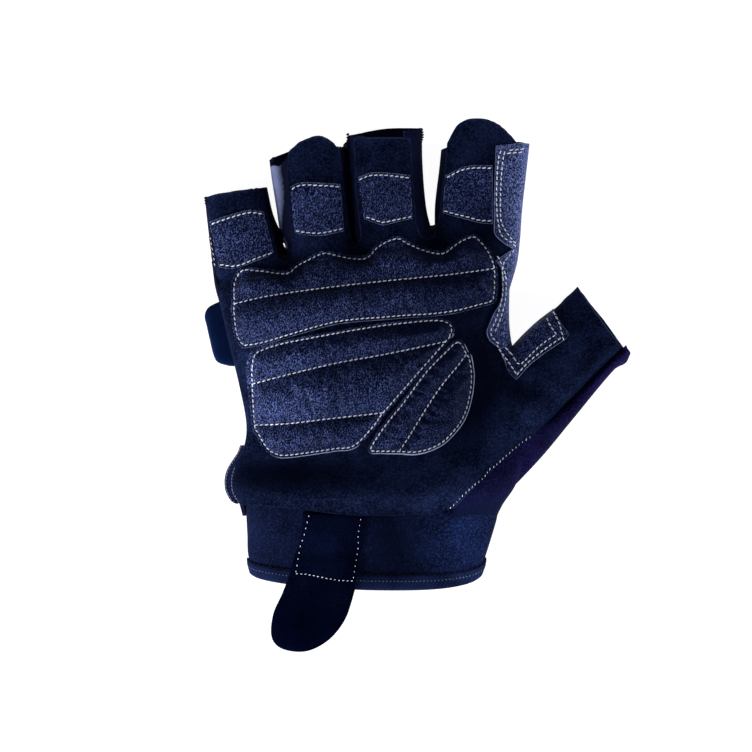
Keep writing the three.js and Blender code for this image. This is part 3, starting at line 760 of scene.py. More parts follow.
@dataclass
class Hand:
    """The glove's main form: five hollow limbs that grow out of the palm."""

    limbs: dict[str, Limb] = field(default_factory=lambda: {
        "palm": Limb(PALM_ROWS, fades_in=0, fades_out=0.045),
        "little": Limb(LITTLE_ROWS),
        "ring": Limb(RING_ROWS),
        "middle": Limb(MIDDLE_ROWS),
        "index": Limb(INDEX_ROWS),
        "thumb": Limb(THUMB_ROWS, fades_in=0.2),
    })
    blend: float = 12.0
    press: float = 1.0
    rim_steps: tuple[float, ...] = (0.1, 0.35, 0.8, 1.5, 2.3)
    dents_reach: float = 10.0
    wrist_lift: float = 2.3
    wrist_start: tuple[float, float] = (45.0, -14.0)
    wrist_rise: tuple[float, float] = (12.0, 7.0)

    def __post_init__(self) -> None:
        """Keeps the glove's silhouette and the palm side's surface."""
        self.outlines = [limb.outline() for limb in self.limbs.values()]
        self.ground = Ground(self.top)
        self.shore = []
        for ring in map(looped, self.outlines):
            on_rim = self.on_silhouette(ring)
            self.shore += [ring[start:start + 2] for start in np.flatnonzero(on_rim[:-1] & on_rim[1:])]

    def mix(self, points: Points) -> tuple[np.ndarray, np.ndarray, np.ndarray]:
        """Blends the limbs over points.

        Args:
            points: Rows of x and y.

        Returns:
            The level of the widest line, and the heights of the top and of the underside from it.
        """
        shapes = [limb.shape(points) for limb in self.limbs.values()]
        weights = np.array([(share + 0.02) ** 3 * np.where(over, 1, 1e-4) for share, _, over in shapes])
        middles = np.array([(levels[:, 0] + levels[:, 1]) / 2 for _, levels, _ in shapes])
        level = np.sum(weights * middles, axis=0) / np.sum(weights, axis=0)
        above = np.zeros(len(points))
        below = np.zeros(len(points))
        for share, levels, _ in shapes:
            above += (np.maximum(levels[:, 1] - level, 0) * share) ** self.blend
            below += (np.maximum(level - levels[:, 0] + self.press, 0) * share) ** self.blend
        return level, above ** (1 / self.blend), below ** (1 / self.blend)

    def top(self, points: Points) -> np.ndarray:
        """Returns the height of the palm side over points, with its dents."""
        level, above, _ = self.mix(points)
        return level + above - blob_sum(DENTS, points) * ease(above / self.dents_reach)

    def bottom(self, points: Points) -> np.ndarray:
        """Works out the underside, which is pressed flat where the glove rests and lifts at the wrist.

        Args:
            points: Rows of x and y.

        Returns:
            Its height.
        """
        level, _, below = self.mix(points)
        into_wrist = ease((np.array(self.wrist_start) - points) / self.wrist_rise)
        return np.maximum(level - below, self.wrist_lift * into_wrist[:, 1] * into_wrist[:, 0])

    def covers(self, points: Points) -> np.ndarray:
        """Returns a mask of the points that lie over some limb."""
        return np.any([inside(outline, points) for outline in self.outlines], axis=0)

    def on_silhouette(self, points: Points) -> np.ndarray:
        """Finds the points on the outline of all the limbs together.

        Args:
            points: Rows of x and y.

        Returns:
            A mask of the points.
        """
        close = [distance_to(outline, points, closed=True) < ON_LINE for outline in self.outlines]
        buried = [inside(outline, points) & ~near for outline, near in zip(self.outlines, close)]
        return np.any(close, axis=0) & ~np.any(buried, axis=0)

    def rim_distance(self, points: Points) -> np.ndarray:
        """Measures how far points lie from the glove's silhouette."""
        return nearest(self.shore, points)

    def settle(self, points: Points, heights: np.ndarray) -> Points:
        """Gives flat points their heights, and those on the silhouette the height of the widest line."""
        return np.column_stack([points, np.where(self.on_silhouette(points), self.mix(points)[0], heights)])

    def inner_lines(self, inset: float) -> list[Points]:
        """Moves each limb's two side lines inward.

        Args:
            inset: How far.

        Returns:
            The lines.
        """
        lines = []
        for limb in self.limbs.values():
            across = inset / np.linalg.norm(limb.right - limb.left, axis=1)[:, None]
            for near, far in ((limb.left, limb.right), (limb.right, limb.left)):
                lines.append(near * (1 - across) + far * across)
        return lines

    def spots(self, low: Points, high: Points, grid: float) -> Points:
        """Spreads mesh points over the limbs, closer where the skin turns steep.

        Args:
            low: The lowest x and y.
            high: The highest x and y.
            grid: How far apart the points are on the flat.

        Returns:
            The points.
        """
        spread = hex_grid(low, high, grid)
        spread = spread[self.covers(spread)]
        for outline in self.outlines:
            spread = spread[distance_to(outline, spread, closed=True) > 0.7 * grid]
        rings = np.vstack([line for inset in self.rim_steps for line in self.inner_lines(inset)])
        rings = rings[np.all((rings > low) & (rings < high), axis=1)]
        return np.vstack([spread, rings])


# Meshes


def triangulate(rings: Sequence[Points], lines: Sequence[Points], spots: Points,
                keep: Callable[[Points], np.ndarray]) -> tuple[Points, np.ndarray]:
    """Covers an area with triangles that follow given lines.

    Args:
        rings: Closed lines to follow.
        lines: Open lines to follow.
        spots: Extra points inside the area.
        keep: Says which triangle centres belong to the area.

    Returns:
        The points, and the triangles as rows of three indices.
    """
    coords: list[list[float]] = []
    edges: list[tuple[int, int]] = []
    for number, line in enumerate([*rings, *lines]):
        first = len(coords)
        coords += line.tolist()
        edges += [(k, k + 1) for k in range(first, len(coords) - 1)]
        if number < len(rings):
            edges.append((len(coords) - 1, first))
    coords += spots.tolist()
    points, _, faces, *_ = delaunay_2d_cdt([Vector(spot) for spot in coords], edges, [], 0, 1e-4)
    points = np.array([tuple(point) for point in points])
    faces = np.array(faces)
    faces = faces[keep(points[faces].mean(axis=1))]
    used, renumbered = np.unique(faces, return_inverse=True)
    return points[used], renumbered.reshape(faces.shape)


def hex_grid(low: Points, high: Points, step: float) -> Points:
    """Spreads points evenly between two corners.

    Args:
        low: The lowest x and y.
        high: The highest x and y.
        step: How far apart the points are.

    Returns:
        The points.
    """
    spots = []
    for number, y in enumerate(np.arange(low[1], high[1], step * 0.866)):
        x = np.arange(low[0] + (number % 2) * step / 2, high[0], step)
        spots.append(np.column_stack([x, np.full(len(x), y)]))
    return np.vstack(spots)


def boundary_edges(faces: np.ndarray) -> np.ndarray:
    """Finds the open edge of a mesh.

    Args:
        faces: Its triangles.

    Returns:
        The directed edges that only one triangle has.
    """
    edges = np.vstack([faces[:, [0, 1]], faces[:, [1, 2]], faces[:, [2, 0]]]).tolist()
    known = {tuple(edge) for edge in edges}
    return np.array([edge for edge in edges if (edge[1], edge[0]) not in known])


def face_up(faces: np.ndarray, points: Points, up: bool = True) -> np.ndarray:
    """Turns triangles so that all face the same way.

    Args:
        faces: The triangles.
        points: Their points seen from above.
        up: Whether they face up.

    Returns:
        The turned triangles.
    """
    a, b, c = (points[faces[:, k]] for k in range(3))
    area = cross_2d(b - a, c - a)
    wrong = (area < 0) if up else (area > 0)
    return np.where(wrong[:, None], faces[:, ::-1], faces)


def vertex_normals(verts: Points, faces: np.ndarray) -> Points:
    """Works out which way a triangle mesh faces.

    Args:
        verts: Its points.
        faces: Its triangles.

    Returns:
        The unit normals at the points.
    """
    a, b, c = (verts[faces[:, k]] for k in range(3))
    total = np.zeros_like(verts)
    for k in range(3):
        np.add.at(total, faces[:, k], np.cross(b - a, c - a))
    return unit(total)


def coords_of(mesh: bpy.types.Mesh) -> Points:
    """Returns a mesh's vertices as rows of x, y and z in metres."""
    return np.array([tuple(vertex.co) for vertex in mesh.vertices])


def make_object(name: str, verts: Points, faces: Sequence[Sequence[int]]) -> Piece:
    """Makes a mesh object from points in millimetres.

    Args:
        name: The piece's name.
        verts: Rows of x, y and z.
        faces: Rows of indices.

    Returns:
        The new object, at the origin.
    """
    mesh = bpy.data.meshes.new(name)
    mesh.from_pydata((np.asarray(verts) * MM).tolist(), [], [list(face) for face in faces])
    mesh.update()
    piece = bpy.data.objects.new(name, mesh)
    bpy.context.collection.objects.link(piece)
    return piece


def select_only(piece: Piece) -> None:
    """Deselects everything and makes one object active.

    Args:
        piece: The object.
    """
    bpy.ops.object.select_all(action="DESELECT")
    piece.select_set(True)
    bpy.context.view_layer.objects.active = piece


def configure(target: object, **settings: object) -> None:
    """Sets attributes of an object by name."""
    for key, value in settings.items():
        setattr(target, key, value)


def apply_modifier(piece: Piece, kind: str, **settings: object) -> None:
    """Adds a modifier to a piece, sets it and applies it.

    Args:
        piece: The object.
        kind: Blender's name of the modifier's type.
        settings: The modifier's values.
    """
    select_only(piece)
    modifier = piece.modifiers.new(kind.title(), kind)
    configure(modifier, **settings)
    bpy.ops.object.modifier_apply(modifier=modifier.name)


def smooth_shade(piece: Piece, degrees: float = 50) -> None:
    """Shades a piece smooth up to an angle."""
    select_only(piece)
    bpy.ops.object.shade_smooth_by_angle(angle=math.radians(degrees))


def write_attribute(piece: Piece, name: str, values: np.ndarray) -> None:
    """Stores one number for each vertex under a name, also over older ones."""
    attribute = piece.data.attributes.get(name) or piece.data.attributes.new(name, "FLOAT", "POINT")
    attribute.data.foreach_set("value", np.asarray(values, dtype=np.float32))


class Cloth(NamedTuple):
    """A surface as a mesh: its points, triangles, unit normals and places on the cut."""

    verts: Points
    faces: np.ndarray
    normals: Points
    cut: Points


@dataclass
class Cutter:
    """Cuts pieces of cloth and leather out of the glove's surfaces."""

    hand: Hand
    grid: float = 0.85
    ring: float = 0.28
    second_ring: float = 0.672
    clear: float = 0.3

    def flat(self, edge: Points, seams: Sequence[Points], ground: Ground, lift: float = 0.0,
             grid: float = 0.0) -> Cloth:
        """Cuts a piece that shows its whole face from above.

        Args:
            edge: Its cut edge seen from above.
            seams: Lines that the mesh follows.
            ground: The surface that it follows.
            lift: How far its face will lie off that.
            grid: How far apart its points are, where that differs.

        Returns:
            The piece's surface.
        """
        step = grid or self.grid
        inner = grown(edge, -self.second_ring)
        spots = hex_grid(edge.min(axis=0), edge.max(axis=0), step)
        spots = spots[inside(inner, spots)]
        near = np.minimum(distance_to(inner, spots, closed=True), nearest(seams, spots))
        spots = spots[near > 0.4 * step]
        rings = [edge, grown(edge, -self.ring), inner]
        points, faces = triangulate(rings, seams, spots, lambda centres: inside(edge, centres))
        base = ground.under(points, lift)
        verts = np.column_stack([base, ground.height(base)])
        return Cloth(verts, face_up(faces, points), ground.normals(base), points)

    def wrapped(self, region: Points, under: float) -> Cloth:
        """Cuts a piece that runs over the glove's silhouette and a little under it.

        Args:
            region: Its outline seen from above, which may reach past the glove.
            under: How far it reaches under the glove.

        Returns:
            The piece's surface.
        """
        hand = self.hand
        spots = hand.spots(region.min(axis=0) - 0.5, region.max(axis=0) + 0.5, self.grid)
        spots = spots[inside(region, spots)]
        spots = spots[distance_to(region, spots, closed=True) > self.clear]

        def over(centres: Points) -> np.ndarray:
            """Returns a mask of the triangles that show from above."""
            return hand.covers(centres) & inside(region, centres)

        def below(centres: Points) -> np.ndarray:
            """Returns a mask of the triangles that show from below."""
            return over(centres) & (hand.rim_distance(centres) < under)

        borders = [*hand.outlines, region]
        points, faces = triangulate([*borders, grown(region, -self.ring)], [], spots, over)
        verts, faces = hand.settle(points, hand.top(points)), face_up(faces, points)
        spots = spots[hand.rim_distance(spots) < under]
        points, lower_faces = triangulate(borders, hand.inner_lines(under), spots, below)
        faces = np.vstack([faces, face_up(lower_faces, points, up=False) + len(verts)])
        verts = np.vstack([verts, hand.settle(points, hand.bottom(points))])
        _, first, same = np.unique(np.round(verts, 3), axis=0, return_index=True, return_inverse=True)
        verts, faces = verts[first], same.reshape(-1)[faces]
        faces = faces[np.all(faces != np.roll(faces, 1, axis=1), axis=1)]
        return Cloth(verts, faces, vertex_normals(verts, faces), verts[:, :2])

    def thicken(self, name: str, cloth: Cloth, inner: float, outer: np.ndarray) -> Piece:
        """Gives a surface its thickness, and marks its cut edge.

        Args:
            name: The piece's name.
            cloth: The surface.
            inner: How far the underside lies off the surface.
            outer: How far the face lies off it, for each point.

        Returns:
            The closed piece, with the attribute edge.
        """
        count = len(cloth.verts)
        upper = cloth.verts + cloth.normals * outer[:, None]
        lower = cloth.verts + cloth.normals * inner
        rim = boundary_edges(cloth.faces)
        walls = [(b, a, a + count, b + count) for a, b in rim.tolist()]
        faces = cloth.faces.tolist() + (cloth.faces[:, ::-1] + count).tolist() + walls
        piece = make_object(name, np.vstack([upper, lower]), faces)
        write_attribute(piece, "edge", np.isin(np.arange(2 * count), rim))
        smooth_shade(piece, 60)
        return piece


# Finishes


class Surface(Enum):
    """What a material's face is like."""

    NAP = "brushed nap"
    PEBBLE = "pebbled grain with pale flecks"
    KNIT = "fine knit"
    SMOOTH = "smooth cloth"


@dataclass(frozen=True)
class Finish:
    """The look of one material. Colours run from the hollows of the grain to its peaks."""

    name: str
    slot: str
    surface: Surface
    dark: Colour
    light: Colour
    rough: float = 0.85
    gloss: float = 0.03
    sheen: float = 0.0
    sheen_tint: Colour = (0.35, 0.42, 1.0)
    grain_mm: float = 0.5
    mottle_mm: float = 11.0
    mottle_share: float = 0.5
    levels: tuple[float, float] = (0.45, 0.63)
    depth_mm: float = 0.1
    edge: Colour | None = None
    fray: float = 0.5
    wrist: Colour | None = None


def thread_finish(name: str, dark: Colour, light: Colour, rough: float, gloss: float) -> Finish:
    """Returns a thread's look; threads differ only in colour and gloss."""
    return Finish(name, "thread", Surface.KNIT, dark, light, rough, gloss, grain_mm=0.35, levels=(0.3, 0.75),
                  depth_mm=0.08)


FINISHES = (
    Finish("suede", "suede", Surface.NAP, (0.0002, 0.0011, 0.007), (0.0088, 0.016, 0.058), gloss=0.02,
           sheen=0.002, grain_mm=0.75, mottle_mm=8, mottle_share=0.35, levels=(0.46, 0.64), depth_mm=0.16,
           edge=(0.01, 0.015, 0.045)),
    # The leather's pale edge colour: partly the cut edge's own colour, partly a painted highlight where
    # edges catch the light.
    Finish("leather", "leather", Surface.PEBBLE, (0.0006, 0.0022, 0.014), (0.08, 0.115, 0.325), rough=0.55,
           grain_mm=0.43, mottle_mm=8, levels=(0.49, 0.66), depth_mm=0.16, edge=(0.28, 0.32, 0.5)),
    # A lighter copy of the leather for the index finger's side patch, with the same pale edge: painted light
    # where the right-hand light falls on it.
    Finish("painted_lit_leather", "leather", Surface.PEBBLE, (0.003, 0.0075, 0.036), (0.2, 0.26, 0.62), rough=0.55,
           mottle_mm=16, mottle_share=0.2, levels=(0.45, 0.74), depth_mm=0.16, edge=(0.3, 0.34, 0.55)),
    Finish("stretch", "stretch", Surface.NAP, (0.0005, 0.0005, 0.008), (0.0135, 0.0118, 0.084), gloss=0.02,
           sheen=0.004, sheen_tint=(0.5, 0.35, 1.0), grain_mm=0.7, mottle_mm=14, mottle_share=0.35,
           levels=(0.44, 0.64), depth_mm=0.16, edge=(0.006, 0.005, 0.034), wrist=(0.0036, 0.0068, 0.03)),
    Finish("back_stretch", "stretch", Surface.KNIT, (0.0014, 0.002, 0.014), (0.01, 0.0125, 0.052),
           gloss=0.02, sheen=0.003, mottle_mm=14, levels=(0.3, 0.75), edge=(0.01, 0.014, 0.045)),
    Finish("side_strips", "stretch", Surface.SMOOTH, (0.0008, 0.0016, 0.01), (0.004, 0.007, 0.03),
           sheen=0.003, depth_mm=0.05, edge=(0.01, 0.014, 0.045)),
    # The strip beside the ring finger: its pale edge colour is a painted highlight along its outer edge.
    Finish("painted_highlight_strips", "stretch", Surface.SMOOTH, (0.0008, 0.0016, 0.01), (0.002, 0.0035, 0.017),
           rough=0.6, sheen=0.001, depth_mm=0.04, edge=(0.15, 0.175, 0.33), fray=0.15),
    Finish("neoprene", "neoprene", Surface.SMOOTH, (0.0003, 0.0013, 0.009), (0.0064, 0.0142, 0.063),
           rough=0.75, sheen=0.002, grain_mm=0.7, mottle_mm=12, mottle_share=0.3, levels=(0.47, 0.66),
           depth_mm=0.06),
    Finish("binding", "neoprene", Surface.KNIT, (0.0008, 0.003, 0.016), (0.0115, 0.021, 0.078), sheen=0.002,
           grain_mm=0.45, levels=(0.3, 0.75), depth_mm=0.12),
    Finish("strap_knit", "neoprene", Surface.KNIT, (0.002, 0.005, 0.028), (0.042, 0.06, 0.18), sheen=0.002,
           grain_mm=0.6, levels=(0.36, 0.75), depth_mm=0.12),
    Finish("smooth_cloth", "stretch", Surface.SMOOTH, (0.001, 0.0075, 0.042), (0.0034, 0.014, 0.07),
           rough=0.7, gloss=0.04, grain_mm=0.4, depth_mm=0.04),
    Finish("microfibre", "microfibre", Surface.NAP, (0.0001, 0.0004, 0.0035), (0.0022, 0.0042, 0.019),
           rough=0.9, gloss=0.0, grain_mm=0.6, levels=(0.4, 0.63), depth_mm=0.06,
           edge=(0.006, 0.008, 0.028)),
    thread_finish("thread", (0.45, 0.48, 0.62), (0.92, 0.94, 1.0), rough=0.6, gloss=0.2),
    thread_finish("piping", (0.09, 0.1, 0.2), (0.3, 0.34, 0.56), rough=0.7, gloss=0.1),
    thread_finish("dull_thread", (0.05, 0.06, 0.13), (0.16, 0.19, 0.34), rough=0.7, gloss=0.1),
    thread_finish("dark_thread", (0.001, 0.0016, 0.008), (0.006, 0.008, 0.028), rough=0.8, gloss=0.05),
)


class Nodes:
    """Short ways to add and join the nodes of one tree."""

    def __init__(self, tree: bpy.types.NodeTree) -> None:
        """Keeps the tree that nodes are added to."""
        self.tree = tree

    def fill(self, node: bpy.types.Node, inputs: Inputs) -> bpy.types.Node:
        """Sets or joins a node's inputs.

        Args:
            node: The node.
            inputs: For each input, another node's output, or its value.

        Returns:
            The node.
        """
        for key, value in inputs.items():
            if isinstance(value, Socket):
                self.tree.links.new(value, node.inputs[key])
            else:
                node.inputs[key].default_value = value
        return node

    def add(self, kind: str, inputs: Inputs | None = None, **settings: object) -> bpy.types.Node:
        """Adds a node.

        Args:
            kind: The node's type, without its first words.
            inputs: For each input, another node's output, or its value.
            settings: The node's own settings.

        Returns:
            The node.
        """
        node = self.tree.nodes.new("ShaderNode" + kind)
        configure(node, **settings)
        return self.fill(node, inputs or {})

    def math(self, operation: str, first: object, second: object = 0.0) -> Socket:
        """Returns the result of a sum on two sockets or numbers."""
        return self.add("Math", {0: first, 1: second}, operation=operation).outputs[0]

    def span(self, value: Socket, low: object, high: object) -> Socket:
        """Stretches the values between two levels over 0 to 1."""
        inputs = {"Value": value, "From Min": low, "From Max": high}
        return self.add("MapRange", inputs, clamp=True).outputs["Result"]

    def blend(self, share: Socket, first: object, second: object) -> Socket:
        """Mixes two colours by a share, which may pass 1."""
        inputs = {0: share, 6: first, 7: second}
        return self.add("Mix", inputs, data_type="RGBA", clamp_factor=False).outputs[2]

    def noise(self, place: Socket, scale: Socket, detail: float, roughness: float = 0.5) -> Socket:
        """Returns a noise of a scale over places."""
        inputs = {"Vector": place, "Scale": scale, "Detail": detail, "Roughness": roughness}
        return self.add("TexNoise", inputs).outputs[0]


class Group:
    """A shader node group with named inputs and outputs, for a pattern on the object."""

    def __init__(self, name: str, inputs: dict[str, float], outputs: Sequence[str]) -> None:
        """Makes the group's sockets.

        Args:
            name: The group's name.
            inputs: Values by name.
            outputs: Names.
        """
        self.tree = bpy.data.node_groups.new(name, "ShaderNodeTree")
        for label, value in inputs.items():
            socket = self.tree.interface.new_socket(label, in_out="INPUT", socket_type="NodeSocketFloat")
            socket.default_value = value
        for label in outputs:
            self.tree.interface.new_socket(label, in_out="OUTPUT", socket_type="NodeSocketFloat")
        self.start = self.tree.nodes.new("NodeGroupInput").outputs
        self.end = self.tree.nodes.new("NodeGroupOutput").inputs
        self.nodes = Nodes(self.tree)
        self.place = self.nodes.add("TexCoord").outputs["Object"]

    def give(self, name: str, value: Socket) -> None:
        """Puts a value out under a name."""
        self.tree.links.new(value, self.end[name])

    def scale(self, name: str, waves: float = 1000.0) -> Socket:
        """Returns the scale of a pattern whose size is an input in millimetres."""
        return self.nodes.math("DIVIDE", waves, self.start[name])


class Grain(Group):
    """A group for a surface's grain: its mask, its height and the broad clouds over it."""

    def __init__(self, name: str, detail: float, roughness: float, low: float, high: float) -> None:
        """Makes the sockets and the clouds.

        Args:
            name: The group's name.
            detail: How much finer than a cloud their edges go.
            roughness: How strong that is.
            low: The noise's level where the clouds start.
            high: The level where they are full.
        """
        inputs = {"Grain mm": 0.5, "Mottle mm": 10.0, "Low": 0.4, "High": 0.7}
        super().__init__(name, inputs, ("Mask", "Mottle", "Height"))
        clouds = self.nodes.noise(self.place, self.scale("Mottle mm"), detail, roughness)
        self.give("Mottle", self.nodes.span(clouds, low, high))

    def finished(self, grain: Socket, height: Socket) -> bpy.types.NodeTree:
        """Puts out the grain and its height.

        Args:
            grain: The pattern, of which the mask shows what lies between the two levels.
            height: The pattern that the surface stands up in.

        Returns:
            The group.
        """
        self.give("Mask", self.nodes.span(grain, self.start["Low"], self.start["High"]))
        self.give("Height", height)
        return self.tree


def nap_group() -> bpy.types.NodeTree:
    """Builds a brushed or plain cloth face: fine fibres over broad clouds.

    Returns:
        The group.
    """
    group = Grain("nap", detail=3.0, roughness=0.55, low=0.34, high=0.66)
    fibres = group.nodes.noise(group.place, group.scale("Grain mm"), detail=3.0, roughness=0.65)
    return group.finished(fibres, fibres)


def pebble_group() -> bpy.types.NodeTree:
    """Builds the leather's grain: small pebbles that catch the light in short slanted flecks.

    Returns:
        The group.
    """
    group = Grain("pebbles", detail=3.0, roughness=0.6, low=0.3, high=0.7)
    nodes, scale = group.nodes, group.scale("Grain mm")
    slant = {"Vector": group.place, "Rotation": (0.0, 0.0, -0.9), "Scale": (1.0, 0.72, 1.0)}
    flecks = nodes.noise(nodes.add("Mapping", slant).outputs[0], scale, detail=2.0, roughness=0.6)
    cells = nodes.add("TexVoronoi", {"Vector": group.place, "Scale": scale}, feature="SMOOTH_F1")
    raised = nodes.math("SUBTRACT", 1.0, cells.outputs["Distance"])
    return group.finished(flecks, nodes.math("ADD", raised, flecks))


def knit_group() -> bpy.types.NodeTree:
    """Builds a fine knit: two slanted rows of loops, broken up by fuzz.

    Returns:
        The group.
    """
    group = Grain("knit", detail=2.0, roughness=0.5, low=0.34, high=0.66)
    nodes = group.nodes
    turned = nodes.add("Mapping", {"Vector": group.place, "Rotation": (0.3, 0.3, 0.6)}).outputs[0]
    wave = {"Vector": turned, "Scale": group.scale("Grain mm", 160.0), "Distortion": 1.5}
    rows, lines = (nodes.add("TexWave", wave, bands_direction=way).outputs["Fac"] for way in "XY")
    fuzz = nodes.noise(group.place, group.scale("Grain mm"), detail=2.0, roughness=0.6)
    loops = nodes.math("MULTIPLY", nodes.math("MULTIPLY", rows, lines), 0.5)
    knit = nodes.math("ADD", loops, nodes.math("MULTIPLY", fuzz, 0.7))
    return group.finished(knit, knit)


def cut_edge_group() -> bpy.types.NodeTree:
    """Builds the line of edge colour where a piece is cut, on the leather partly a painted highlight: broken
    and a little frayed.

    Returns:
        The group.
    """
    group = Group("cut_edge", {"Edge": 0.0, "Fray": 0.5, "Fray mm": 0.8}, ("Mask",))
    nodes = group.nodes
    fray = nodes.math("SUBTRACT", nodes.noise(group.place, group.scale("Fray mm"), 2.0), 0.5)
    uneven = nodes.math("MULTIPLY", fray, group.start["Fray"])
    group.give("Mask", nodes.span(nodes.math("ADD", group.start["Edge"], uneven), 0.71, 0.99))
    return group.tree


def new_material(name: str, values: Inputs) -> tuple[bpy.types.Material, Nodes, bpy.types.Node]:
    """Starts a material.

    Args:
        name: Its name.
        values: What its shader's inputs are all over the surface.

    Returns:
        The material, its nodes and its shader.
    """
    material = bpy.data.materials.new(name)
    material.use_nodes = True
    nodes = Nodes(material.node_tree)
    return material, nodes, nodes.fill(material.node_tree.nodes["Principled BSDF"], values)


class Wardrobe:
    """All the materials, built once."""

    wrist_from: tuple[float, float] = (-0.03, -0.045)
    # How far the painted shade may darken a piece, the leather less far, and the height over the floor from
    # which painted light and shade fade in.
    darkest: float = -0.9
    darkest_leather: float = -0.6
    painted_shading_from: float = 3.0
    painted_shading_reach: float = 6.0

    def __init__(self) -> None:
        """Builds the shared groups and every finish."""
        nap = nap_group()
        self.grains = {
            Surface.NAP: nap,
            Surface.SMOOTH: nap,
            Surface.PEBBLE: pebble_group(),
            Surface.KNIT: knit_group(),
        }
        self.cut_edge = cut_edge_group()
        self.materials = {finish.name: self.make(finish) for finish in FINISHES}
        self.slots = {finish.name: finish.slot for finish in FINISHES}

    def make(self, finish: Finish) -> bpy.types.Material:
        """Builds a finish's material.

        Args:
            finish: The look.

        Returns:
            The material.
        """
        material, nodes, shader = new_material(finish.name, {
            "Roughness": finish.rough,
            "Specular IOR Level": finish.gloss,
            "Sheen Weight": finish.sheen,
            "Sheen Roughness": 0.4,
            "Sheen Tint": (*finish.sheen_tint, 1),
        })
        low, high = finish.levels
        sizes = {"Grain mm": finish.grain_mm, "Mottle mm": finish.mottle_mm, "Low": low, "High": high}
        grain = nodes.add("Group", sizes, node_tree=self.grains[finish.surface]).outputs
        clouds = nodes.math("MULTIPLY", grain["Mottle"], finish.mottle_share)
        if finish.surface is Surface.PEBBLE:
            share = nodes.math("MULTIPLY", grain["Mask"], nodes.math("ADD", clouds, 1 - finish.mottle_share))
        else:
            share = nodes.math("ADD", nodes.math("MULTIPLY", grain["Mask"], 1 - finish.mottle_share), clouds)
        # Painted light and shade: a stored value for each point lightens or darkens the grain's share.
        painted_shading = nodes.add("Attribute", attribute_name="painted_shading").outputs["Fac"]
        share = nodes.math("MULTIPLY", share, nodes.math("ADD", painted_shading, 1.0))
        colour = nodes.blend(share, (*finish.dark, 1), (*finish.light, 1))
        if finish.wrist:
            place = nodes.add("SeparateXYZ", {"Vector": nodes.add("TexCoord").outputs["Object"]})
            nearness = nodes.span(place.outputs["Y"], *self.wrist_from)
            colour = nodes.blend(nearness, colour, (*finish.wrist, 1))
        if finish.edge:
            edge = nodes.add("Attribute", attribute_name="edge").outputs["Fac"]
            worn = nodes.add("Group", {"Edge": edge, "Fray": finish.fray}, node_tree=self.cut_edge)
            colour = nodes.blend(worn.outputs["Mask"], colour, (*finish.edge, 1))
        relief = {"Height": grain["Height"], "Strength": 0.8, "Distance": finish.depth_mm * MM}
        nodes.fill(shader, {"Base Color": colour, "Normal": nodes.add("Bump", relief).outputs[0]})
        return material

    def dress(self, piece: Piece, finish: str, hollows: np.ndarray | float = 0.0) -> None:
        """Gives a piece its material, and lets it ride on the glove.

        Args:
            piece: The piece.
            finish: Its finish's name.
            hollows: How much darker each point is painted, as shade in the piece's own hollows.
        """
        piece.data.materials.clear()
        piece.data.materials.append(self.materials[finish])
        verts = coords_of(piece.data) / MM
        floor = self.darkest_leather if finish == "leather" else self.darkest
        # Painted light and shade: the listed soft patches, less the painted shade in the piece's own
        # hollows, faded out towards the floor.
        painted_shading = np.maximum(blob_sum(PAINTED_LIGHT_SHADE, verts[:, :2]), floor)
        painted_shading = np.maximum(painted_shading - hollows, self.darkest)
        write_attribute(piece, "painted_shading", painted_shading * ease((verts[:, 2] - self.painted_shading_from) / self.painted_shading_reach))
        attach(piece, "root")
        log.info("%s: %d faces", piece.name, len(piece.data.polygons))


# Sewing


